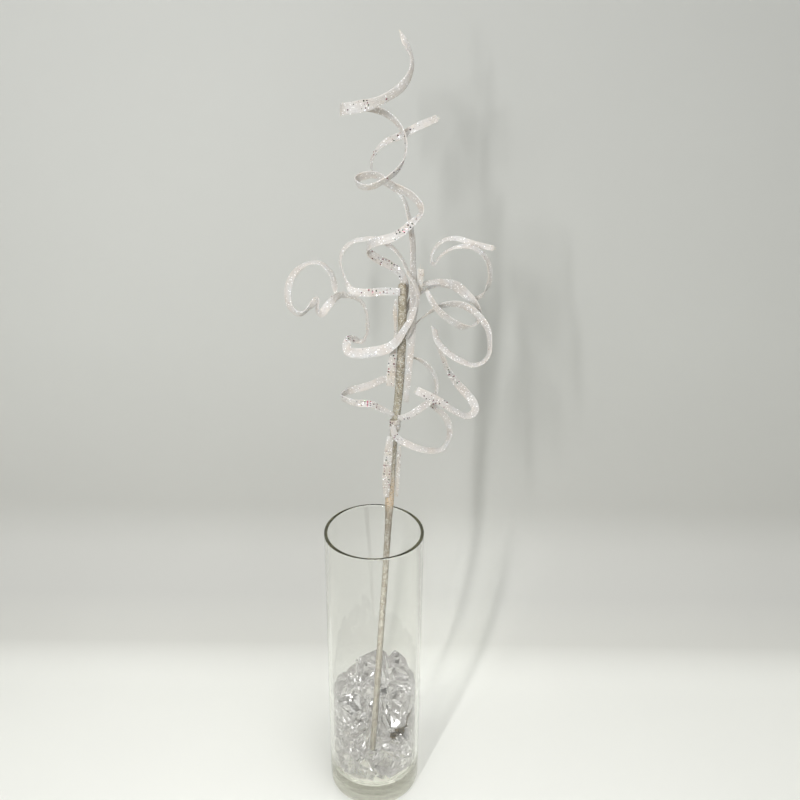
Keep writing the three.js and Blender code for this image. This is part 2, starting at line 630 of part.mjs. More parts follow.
// A forked twig with small heads of pointed dry buds, all grown together.
function sprigGeometry() {
  const random = randomFrom(SPRIG.seed);
  const upright = new THREE.Vector3(0, 1, 0);
  let solid = twigSolid(SPRIG.twig, SPRIG.twigRadius);
  solid = solid.add(twigSolid(SPRIG.spur, SPRIG.spurRadius));
  for (const head of SPRIG.heads) {
    const core = new THREE.IcosahedronGeometry(SPRIG.headRadius, 1).translate(...head);
    solid = solid.add(solidOf(core));
    for (let i = 0; i < SPRIG.buds; i += 1) {
      const lift = 1 - (2 * i + 1) / SPRIG.buds;
      const angle = GOLDEN_ANGLE * i + random();
      const flat = Math.sqrt(1 - lift * lift);
      const way = new THREE.Vector3(flat * Math.cos(angle), flat * Math.sin(angle), lift);
      const length = SPRIG.budLength * (0.8 + 0.3 * random());
      const bud = new THREE.ConeGeometry(SPRIG.budWidth / 2, length, SPRIG.budSides);
      bud.translate(0, length / 2 + SEAT, 0);
      bud.applyQuaternion(new THREE.Quaternion().setFromUnitVectors(upright, way));
      bud.translate(...head);
      solid = solid.add(solidOf(bud));
    }
  }
  return geometryOf(solid);
}

// ---- the object ------------------------------------------------------------------------------

const group = new THREE.Group();

function add(name, geometry, look) {
  const mesh = new THREE.Mesh(geometry, new THREE.MeshStandardMaterial(look));
  mesh.name = name;
  group.add(mesh);
}

add('vase', vaseGeometry(), LOOKS.glass);
add('stick', stickGeometry(), LOOKS.bark);
add('wrapping', wrappingGeometry(), LOOKS.laid);
for (const [name, curl] of Object.entries(CURLS)) add(name, stripGeometry(curl), LOOKS.strip);
for (const [name, strip] of Object.entries(LAID_STRIPS)) {
  add(name, stripGeometry(strip), LOOKS.laid);
}
add('dried_sprig', sprigGeometry(), LOOKS.sprig);

const random = randomFrom(FILL.seed);
const middles = chunkMiddles(random);
middles.forEach((middle, i) => {
  const name = `acrylic_chunk_${String(i + 1).padStart(2, '0')}`;
  add(name, chunkGeometry(middle, middles, random), LOOKS.ice);
});

export default group;
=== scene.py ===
# %% [markdown]
# # A curly willow branch in a glass cylinder
# A dark stick carries long strips of bleached, glittered willow that coil like wood shavings. It
# stands in a heavy glass cylinder, wedged in clear acrylic chunks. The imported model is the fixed
# frame: it says where everything is, and each piece made here takes the place of one of its nodes.

# %% Load the fixed frame
import math
import random

import bpy
import numpy as np
from mathutils import Matrix, Vector, noise


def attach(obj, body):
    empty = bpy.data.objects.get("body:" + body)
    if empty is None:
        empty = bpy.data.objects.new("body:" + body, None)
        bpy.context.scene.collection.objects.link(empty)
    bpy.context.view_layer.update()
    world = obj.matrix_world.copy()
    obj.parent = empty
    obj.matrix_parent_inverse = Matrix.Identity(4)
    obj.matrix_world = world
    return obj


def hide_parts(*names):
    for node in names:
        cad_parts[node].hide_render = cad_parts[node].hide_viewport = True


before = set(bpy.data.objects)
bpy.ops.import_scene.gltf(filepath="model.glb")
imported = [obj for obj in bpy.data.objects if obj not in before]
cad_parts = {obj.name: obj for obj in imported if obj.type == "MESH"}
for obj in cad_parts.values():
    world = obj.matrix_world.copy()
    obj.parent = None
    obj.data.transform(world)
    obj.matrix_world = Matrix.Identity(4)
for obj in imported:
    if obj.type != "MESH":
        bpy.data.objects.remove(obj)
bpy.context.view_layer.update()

MM = 0.001
bpy.ops.object.select_all(action="DESELECT")

# %% [markdown]
# ## The camera
# The camera stands a little above the branch's tip and looks down on it, so that the vase's mouth
# shows as an oval. Its place and turn are set straight from three directions: right, up and back.

# %% Set the camera
PITCH = math.radians(25.3)
ROLL = math.radians(0.7)
CAMERA_AT = Vector((21.9, -658, 741)) * MM
IMAGE_WIDTH = 800
FOCAL_PIXELS = 869.5
SENSOR_WIDTH = 36
ahead = Vector((0, math.cos(PITCH), -math.sin(PITCH)))
level_up = Vector((0, math.sin(PITCH), math.cos(PITCH)))
level_right = Vector((1, 0, 0))
right = level_right * math.cos(ROLL) + level_up * math.sin(ROLL)
up = level_up * math.cos(ROLL) - level_right * math.sin(ROLL)
bpy.ops.object.camera_add()
camera = bpy.context.object
turn = Matrix((right, up, -ahead)).transposed().to_4x4()
camera.matrix_world = Matrix.Translation(CAMERA_AT) @ turn
camera.data.sensor_width = SENSOR_WIDTH
camera.data.lens = SENSOR_WIDTH * FOCAL_PIXELS / IMAGE_WIDTH
bpy.context.scene.camera = camera
print("camera at", [round(v, 3) for v in camera.location], "lens", round(camera.data.lens, 2))

# %% [markdown]
# ## Working habits
# An operator acts on whatever is selected, so each step starts by selecting one piece alone. The
# helpers below hold the moves that every piece needs: enter edit mode, pick faces or edges by
# where they are, apply the modifiers, and hand the finished piece to the frame.

# %% Helpers that select and edit
def only(piece):
    """Selects one piece and makes it the active one."""
    bpy.ops.object.select_all(action="DESELECT")
    piece.select_set(True)
    bpy.context.view_layer.objects.active = piece


def edit(piece, select_all=False):
    """Opens a piece in edit mode with everything or nothing selected."""
    only(piece)
    bpy.ops.object.mode_set(mode="EDIT")
    bpy.ops.mesh.select_all(action="SELECT" if select_all else "DESELECT")


def leave_edit():
    bpy.ops.object.mode_set(mode="OBJECT")


def take_all():
    bpy.ops.mesh.select_all(action="SELECT")


def pick(piece, kind, test):
    """Selects the faces or edges that pass a test, from inside edit mode, and counts them."""
    bpy.ops.mesh.select_all(action="DESELECT")
    bpy.ops.mesh.select_mode(type="FACE" if kind == "face" else "EDGE")
    leave_edit()
    mesh = piece.data
    count = 0
    for part in mesh.polygons if kind == "face" else mesh.edges:
        corners = [mesh.vertices[i].co for i in part.vertices]
        part.select = test(sum(corners, Vector()) / len(corners), part)
        count += part.select
    bpy.ops.object.mode_set(mode="EDIT")
    return count


# %% Helpers that finish a piece
def apply_all(piece):
    """Applies the place and turn of a piece, then its modifiers in order."""
    only(piece)
    bpy.ops.object.transform_apply(location=True, rotation=True, scale=True)
    for modifier in list(piece.modifiers):
        bpy.ops.object.modifier_apply(modifier=modifier.name)


def face_outwards(piece):
    edit(piece, select_all=True)
    bpy.ops.mesh.normals_make_consistent(inside=False)
    leave_edit()


def hand_over(piece, name, material, slot, *nodes):
    """Names a finished piece, gives it its material and puts it on the frame."""
    piece.name = name
    piece.data.name = name
    piece.data.materials.clear()
    piece.data.materials.append(material)
    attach(piece, "root")
    if nodes:
        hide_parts(*nodes)
    piece.select_set(False)
    triangles = sum(len(face.vertices) - 2 for face in piece.data.polygons)
    print(f"{name}: {triangles} triangles, replaces {len(nodes)} nodes")


# %% [markdown]
# ## The room
# The branch stands on a pale sheet that bends up into a wall behind it. A plane is added, and its
# back edge is spun up a little past a quarter turn and then extruded, so the wall leans forward
# and the shadows on it draw in towards the top. The sheet shows only its front: seen from behind
# it is clear, so the branch can be looked at from all round. A second floor carries on behind the
# bend for that view.

# %% Lay the floor and bend up the wall
FLOOR_BACK = 0.115
BEND = 0.14
LEAN = math.radians(10)
ROOM = 6.0
WALL_HEIGHT = 1.3
bpy.ops.mesh.primitive_plane_add(size=ROOM, location=(0, FLOOR_BACK - ROOM / 2, 0))
sheet = bpy.context.object
apply_all(sheet)
edit(sheet)
pick(sheet, "edge", lambda middle, part: abs(middle.y - FLOOR_BACK) < MM)
bpy.ops.mesh.spin(
    steps=24, angle=math.pi / 2 + LEAN, center=(0, FLOOR_BACK, BEND), axis=(-1, 0, 0))
leave_edit()
highest = max(v.co.z for v in sheet.data.vertices)
if max(v.co.y for v in sheet.data.vertices) < FLOOR_BACK + BEND * 0.9:
    raise RuntimeError("the sheet bent the wrong way")
edit(sheet)
pick(sheet, "edge", lambda middle, part: middle.z > highest - MM / 2)
bpy.ops.mesh.extrude_region_move(TRANSFORM_OT_translate={
    "value": (0, -WALL_HEIGHT * math.sin(LEAN), WALL_HEIGHT * math.cos(LEAN))})
leave_edit()
if sheet.data.polygons[0].normal.z < 0:
    edit(sheet, select_all=True)
    bpy.ops.mesh.flip_normals()
    leave_edit()
only(sheet)
bpy.ops.object.shade_smooth()
sheet.name = "backdrop"
bpy.ops.mesh.primitive_plane_add(size=ROOM, location=(0, FLOOR_BACK + ROOM / 2, -MM))
back_floor = bpy.context.object
apply_all(back_floor)
back_floor.name = "back_floor"
print("wall at", round(FLOOR_BACK + BEND, 3), "m behind the vase's middle")

# %% [markdown]
# ## Building materials from nodes
# Every finish is a small graph of nodes round one Principled shader. A few helpers keep the cells
# short: one adds a node, fills its inputs and wires it up, others add the kinds that come up most,
# such as noise and colour ramps, and the last starts a material.

# %% Helpers for nodes
def add_node(tree, kind, inputs=None, **settings):
    """Adds a node. inputs holds plain values, or sockets of other nodes to link from."""
    node = tree.nodes.new("ShaderNode" + kind)
    for name, value in settings.items():
        setattr(node, name, value)
    for key, value in (inputs or {}).items():
        if isinstance(value, bpy.types.NodeSocket):
            tree.links.new(value, node.inputs[key])
        else:
            node.inputs[key].default_value = value
    return node


def spots_of(tree, kind="Object"):
    return add_node(tree, "TexCoord").outputs[kind]


def add_noise(tree, spots, scale, detail=2.0, roughness=0.5):
    return add_node(tree, "TexNoise", {
        "Vector": spots, "Scale": scale, "Detail": detail, "Roughness": roughness}).outputs["Fac"]


def add_ramp(tree, factor, stops):
    """Adds a colour ramp through (place, colour) stops and returns its colour."""
    node = add_node(tree, "ValToRGB", {"Fac": factor})
    ramp = node.color_ramp
    while len(ramp.elements) < len(stops):
        ramp.elements.new(1)
    for element, (place, colour) in zip(ramp.elements, stops):
        element.position = place
        element.color = (*colour, 1) if len(colour) == 3 else (*colour * 3, 1)
    return node.outputs["Color"]


# %% Helpers that mix, raise and start a material
def mix_colour(tree, factor, first, second, blend="MIX"):
    """Mixes two colours, each a plain one or the socket of another node."""
    first, second = (
        (*colour, 1) if isinstance(colour, tuple) else colour for colour in (first, second))
    node = add_node(
        tree, "Mix", {0: factor, 6: first, 7: second}, data_type="RGBA", blend_type=blend)
    return node.outputs[2]


def add_bump(tree, shader, height, strength, distance_mm):
    bump = add_node(tree, "Bump", {
        "Height": height, "Strength": strength, "Distance": distance_mm * MM})
    tree.links.new(bump.outputs["Normal"], shader.inputs["Normal"])


def new_material(name, **values):
    """Starts a material and returns it with its tree and its Principled shader."""
    material = bpy.data.materials.new(name)
    material.use_nodes = True
    shader = material.node_tree.nodes["Principled BSDF"]
    for key, value in values.items():
        shader.inputs[key.replace("_", " ")].default_value = value
    return material, material.node_tree, shader


# %% [markdown]
# ## Wood grain and frost, shared by several finishes
# Split willow shows fine lines along its length, and the maker has rolled it in fine clear
# glitter. Both effects go on more than one piece, so each is a node group: built once, then
# placed in each material with its own values. Grain follows a strip by its own map, whose two
# numbers are metres along and metres across. Frost is a fine foam of cells, of which a few are
# bright flakes and a few are dark ones.

# %% Node group: grain
def new_group(name, inputs, outputs):
    tree = bpy.data.node_groups.new(name, "ShaderNodeTree")
    for socket, kind, value in inputs:
        made = tree.interface.new_socket(socket, in_out="INPUT", socket_type=kind)
        if value is not None:
            made.default_value = value
    for socket, kind in outputs:
        tree.interface.new_socket(socket, in_out="OUTPUT", socket_type=kind)
    return tree, tree.nodes.new("NodeGroupInput"), tree.nodes.new("NodeGroupOutput")


FLOAT, VECTOR, COLOUR = "NodeSocketFloat", "NodeSocketVector", "NodeSocketColor"
grain_group, into, out = new_group(
    "lengthwise_grain",
    [("Vector", VECTOR, None), ("Along", FLOAT, 40.0), ("Across", FLOAT, 1600.0)],
    [("Lines", FLOAT), ("Patches", FLOAT)])
stretch = add_node(grain_group, "CombineXYZ", {
    "X": into.outputs["Along"], "Y": into.outputs["Across"], "Z": 1.0})
stretched = add_node(grain_group, "VectorMath", {
    0: into.outputs["Vector"], 1: stretch.outputs[0]}, operation="MULTIPLY")
lines = add_noise(grain_group, stretched.outputs[0], 1.0, 3.0, 0.6)
patches = add_noise(grain_group, into.outputs["Vector"], 60.0)
grain_group.links.new(lines, out.inputs["Lines"])
grain_group.links.new(patches, out.inputs["Patches"])
print("group:", grain_group.name)

# %% Node group: frost
frost_group, into, out = new_group(
    "glitter_frost",
    [("Scale", FLOAT, 1500.0), ("Bright", FLOAT, 0.9), ("Dark", FLOAT, 0.03)],
    [("Bright mask", FLOAT), ("Dark mask", FLOAT), ("Tone", FLOAT), ("Height", FLOAT)])
cells = add_node(frost_group, "TexVoronoi", {
    "Vector": spots_of(frost_group), "Scale": into.outputs["Scale"]})
tone = add_node(frost_group, "SeparateColor", {0: cells.outputs["Color"]})
bright = add_node(frost_group, "Math", {
    0: tone.outputs[0], 1: into.outputs["Bright"]}, operation="GREATER_THAN")
dark = add_node(frost_group, "Math", {
    0: tone.outputs[0], 1: into.outputs["Dark"]}, operation="LESS_THAN")
for source, target in ((bright.outputs[0], "Bright mask"), (dark.outputs[0], "Dark mask"),
                       (tone.outputs[1], "Tone"), (cells.outputs["Distance"], "Height")):
    frost_group.links.new(source, out.inputs[target])
print("group:", frost_group.name)

# %% [markdown]
# ## Bleached willow
# The strips are nearly white wood with a satin surface. The colour drifts between cream and a
# cooler white in long patches, fine grain lines darken it a little, and the frost scatters
# brighter and duller points over it. The brightest points are painted glints: their colour is
# turned near white, as glitter looks where it catches the light, and they are also glossier.
# The relief is the sum of grain and frost. The strips laid on the stick are yellower, with
# deeper grain and more dark specks, so one function makes both.

# %% Finish: bleached strips
BRIGHT_FROM = 0.955


def willow_finish(name, cream, white, line_depth, dark):
    material, tree, shader = new_material(
        name, IOR=1.5, Subsurface_Weight=0.7, Subsurface_Scale=2.2 * MM,
        Subsurface_Radius=(1.0, 0.92, 0.8))
    grain = add_node(tree, "Group", {"Vector": spots_of(tree, "UV")}, node_tree=grain_group)
    frost = add_node(tree, "Group", {"Bright": BRIGHT_FROM, "Dark": dark}, node_tree=frost_group)
    patch = add_ramp(tree, grain.outputs["Patches"], [(0.35, cream), (0.65, white)])
    lines = add_ramp(tree, grain.outputs["Lines"], [(0.3, (1 - line_depth,)), (0.6, (1.0,))])
    lined = mix_colour(tree, 1.0, patch, lines, "MULTIPLY")
    toned = add_ramp(tree, frost.outputs["Tone"], [(0.0, (0.88,)), (1.0, (1.02,))])
    frosted = mix_colour(tree, 1.0, lined, toned, "MULTIPLY")
    # Painted glints: the brightest frost cells are turned near white, as if their glitter caught
    # the light.
    with_painted_glints = mix_colour(tree, frost.outputs["Bright mask"], frosted, (0.92, 0.92, 0.92))
    specked = mix_colour(tree, frost.outputs["Dark mask"], with_painted_glints, (0.3, 0.2, 0.2))
    tree.links.new(specked, shader.inputs["Base Color"])
    gloss = add_ramp(tree, frost.outputs["Bright mask"], [(0.0, (0.5,)), (1.0, (0.2,))])
    tree.links.new(gloss, shader.inputs["Roughness"])
    relief = add_node(tree, "Math", {
        0: grain.outputs["Lines"], 1: 0.6, 2: frost.outputs["Height"]},
        operation="MULTIPLY_ADD")
    add_bump(tree, shader, relief.outputs[0], 0.35, 0.3)
    return material


strip_wood = willow_finish(
    "bleached_willow", (0.555, 0.518, 0.483), (0.56, 0.557, 0.55), line_depth=0.16, dark=0.004)
laid_wood = willow_finish(
    "frosted_willow", (0.56, 0.51, 0.45), (0.61, 0.60, 0.58), line_depth=0.22, dark=0.02)
print("finishes:", strip_wood.name, laid_wood.name)

# %% [markdown]
# ## How a strip runs
# A strip is given by the points that it turns through, from its root on the stick to its free
# end. Between two points it bends like an arc, because each tangent is that of the circle through
# a point and its neighbours. Each point also says how far the flat face has turned about the run
# from looking at the viewer. Between the points the face is carried along without twisting, and
# the twist that is left over is eased in.

# %% Curve tools
def unit(vectors):
    return vectors / np.linalg.norm(vectors, axis=-1, keepdims=True)


def route_tangents(points):
    steps = np.diff(points, axis=0)
    lengths = np.linalg.norm(steps, axis=1)[:, None]
    ways = steps / lengths
    tangents = np.zeros_like(points)
    tangents[1:-1] = unit(ways[:-1] * lengths[1:] + ways[1:] * lengths[:-1])
    for end, inner in ((0, 1), (-1, -2)):
        chord = unit(points[end] - points[inner])
        tangents[end] = 2 * tangents[inner].dot(chord) * chord - tangents[inner]
    return tangents


def ease(first, last, leaving, arriving, reach, t):
    """A smooth curve from first to last that leaves and arrives at the given slopes."""
    return (first * (2 * t ** 3 - 3 * t ** 2 + 1) + leaving * reach * (t ** 3 - 2 * t ** 2 + t)
            + last * (3 * t ** 2 - 2 * t ** 3) + arriving * reach * (t ** 3 - t ** 2))


# %% Places along a route
STEP_DEGREES, STEP_MM = 5, 3


def follow(route):
    """Places along a route with the width at each, and the place number of each given point."""
    numbers = np.array([row[:4] for row in route], float)
    points, widths = numbers[:, :3], numbers[:, 3]
    tangents = route_tangents(points)
    places, spans, knots = [points[0]], [widths[0]], [0]
    for i in range(len(points) - 1):
        reach = np.linalg.norm(points[i + 1] - points[i])
        cosine = np.clip(unit(tangents[i]).dot(unit(tangents[i + 1])), -1, 1)
        bend = math.acos(cosine)
        steps = max(1, math.ceil(math.degrees(bend) / STEP_DEGREES), math.ceil(reach / STEP_MM))
        reach /= math.cos(bend / 4) ** 2
        for t in np.arange(1, steps + 1) / steps:
            places.append(ease(points[i], points[i + 1], tangents[i], tangents[i + 1], reach, t))
            spans.append(widths[i] + (widths[i + 1] - widths[i]) * t)
        knots.append(len(places) - 1)
    return np.array(places), np.array(spans), knots


# %% Turn the face along a route
SEEN_FROM = np.array([0, -0.904, 0.427])


def face_along(places, knots, run, looks):
    """Unit tangents and facing directions at each place of a strip."""
    before = np.vstack([places[:1], places[:-1]])
    after = np.vstack([places[1:], places[-1:]])
    tangents = unit(after - before)

    def level(direction, i):
        return unit(direction - tangents[i] * tangents[i].dot(direction))

    def spun(direction, i, angle):
        return direction * math.cos(angle) + np.cross(tangents[i], direction) * math.sin(angle)

    carried = [level(SEEN_FROM, 0)]
    for i in range(1, len(places)):
        carried.append(level(carried[-1], i))
    at, twists = [], []
    for point, look in enumerate(looks):
        if look is None:
            continue
        i = knots[point]
        if isinstance(look, tuple):
            wanted = level(np.array(look), i)
        else:
            wanted = spun(level(SEEN_FROM, i), i, math.radians(look))
        angle = math.atan2(np.cross(carried[i], wanted).dot(tangents[i]), carried[i].dot(wanted))
        last = twists[-1] if twists else 0
        at.append(run[i])
        twists.append(angle - math.pi * round((angle - last) / math.pi))
    slopes = [
        (twists[min(k + 1, len(at) - 1)] - twists[max(k - 1, 0)])
        / max(at[min(k + 1, len(at) - 1)] - at[max(k - 1, 0)], 1e-6) for k in range(len(at))]
    faces = []
    for i, here in enumerate(run):
        k = int(np.clip(np.searchsorted(at, here, side="right"), 1, max(len(at) - 1, 1)))
        if len(at) == 1 or here >= at[-1] or here <= at[0]:
            twist = twists[-1] if here >= at[-1] else twists[0]
        else:
            reach = at[k] - at[k - 1]
            twist = ease(twists[k - 1], twists[k], slopes[k - 1], slopes[k], reach,
                         (here - at[k - 1]) / reach)
        faces.append(spun(carried[i], i, twist))
    return tangents, np.array(faces)


# %% [markdown]
# ## Making one strip
# A curve with a flat profile would give a ribbon too, but its twist is hard to steer, and here
# the width and the turn of the face change all the way along. So a strip starts as a grid, the
# flat sheet primitive, with a row of points for each place along its run. The rows are moved on to
# the route, a little cupped across as shaved wood is, and with edges that waver. A Solidify
# modifier gives the thickness and a Bevel breaks the edges.

# %% Strip maker
THICKNESS = 0.8
COLUMNS = 6
CUP = 0.045
WAVE_MM = 7
BROKEN_EDGE = 0.2
STRIPS = {}


def smooth(piece, degrees):
    """Shades a piece smooth, except at edges sharper than the angle."""
    only(piece)
    bpy.ops.object.shade_smooth_by_angle(angle=math.radians(degrees))


def wood_strip(name, route, material, slot, seed, waver=0.05):
    places, widths, knots = follow(route)
    run = np.concatenate([[0], np.cumsum(np.linalg.norm(np.diff(places, axis=0), axis=1))])
    tangents, faces = face_along(places, knots, run, [row[4] for row in route])
    across = np.cross(faces, tangents)
    rows = len(places)
    bpy.ops.mesh.primitive_grid_add(x_subdivisions=COLUMNS, y_subdivisions=rows - 1, size=1)
    piece = bpy.context.object
    mesh = piece.data
    flat = np.array([v.co[:2] for v in mesh.vertices]) + 0.5
    row = np.rint(flat[:, 1] * (rows - 1)).astype(int)
    side = 2 * flat[:, 0] - 1
    edge = np.array([
        [noise.noise((run[i] / WAVE_MM, seed * 3.1, which * 9.7)) for which in (0, 1)]
        for i in range(rows)])
    wobble = 1 + waver * np.where(side < 0, edge[row, 0], edge[row, 1])
    sideways = side * widths[row] / 2 * wobble
    raised = CUP * widths[row] * (0.5 - side ** 2)
    corners = (places[row] + across[row] * sideways[:, None]
               + faces[row] * raised[:, None]) * MM
    mesh.vertices.foreach_set("co", corners.ravel())
    uv = mesh.uv_layers.active.data
    for loop in mesh.loops:
        i = loop.vertex_index
        uv[loop.index].uv = (run[row[i]] * MM + seed, sideways[i] * MM)
    solidify = piece.modifiers.new("thickness", "SOLIDIFY")
    solidify.thickness = THICKNESS * MM
    solidify.offset = 0
    bevel = piece.modifiers.new("broken_edges", "BEVEL")
    bevel.width = BROKEN_EDGE * MM
    bevel.segments = 2
    bevel.angle_limit = math.radians(50)
    apply_all(piece)
    face_outwards(piece)
    smooth(piece, 40)
    STRIPS[name] = dict(
        places=places, across=across, faces=faces, widths=widths, run=run, knots=knots)
    hand_over(piece, "willow_" + name, material, slot, name)


# %% [markdown]
# ## The ten long strips
# Each list below is one strip of wood as it grew out of the maker's hands: x, y, z, the width in
# millimetres and the turn of the face in degrees, from the root to the free end. None for a turn
# leaves it to the points on both sides.

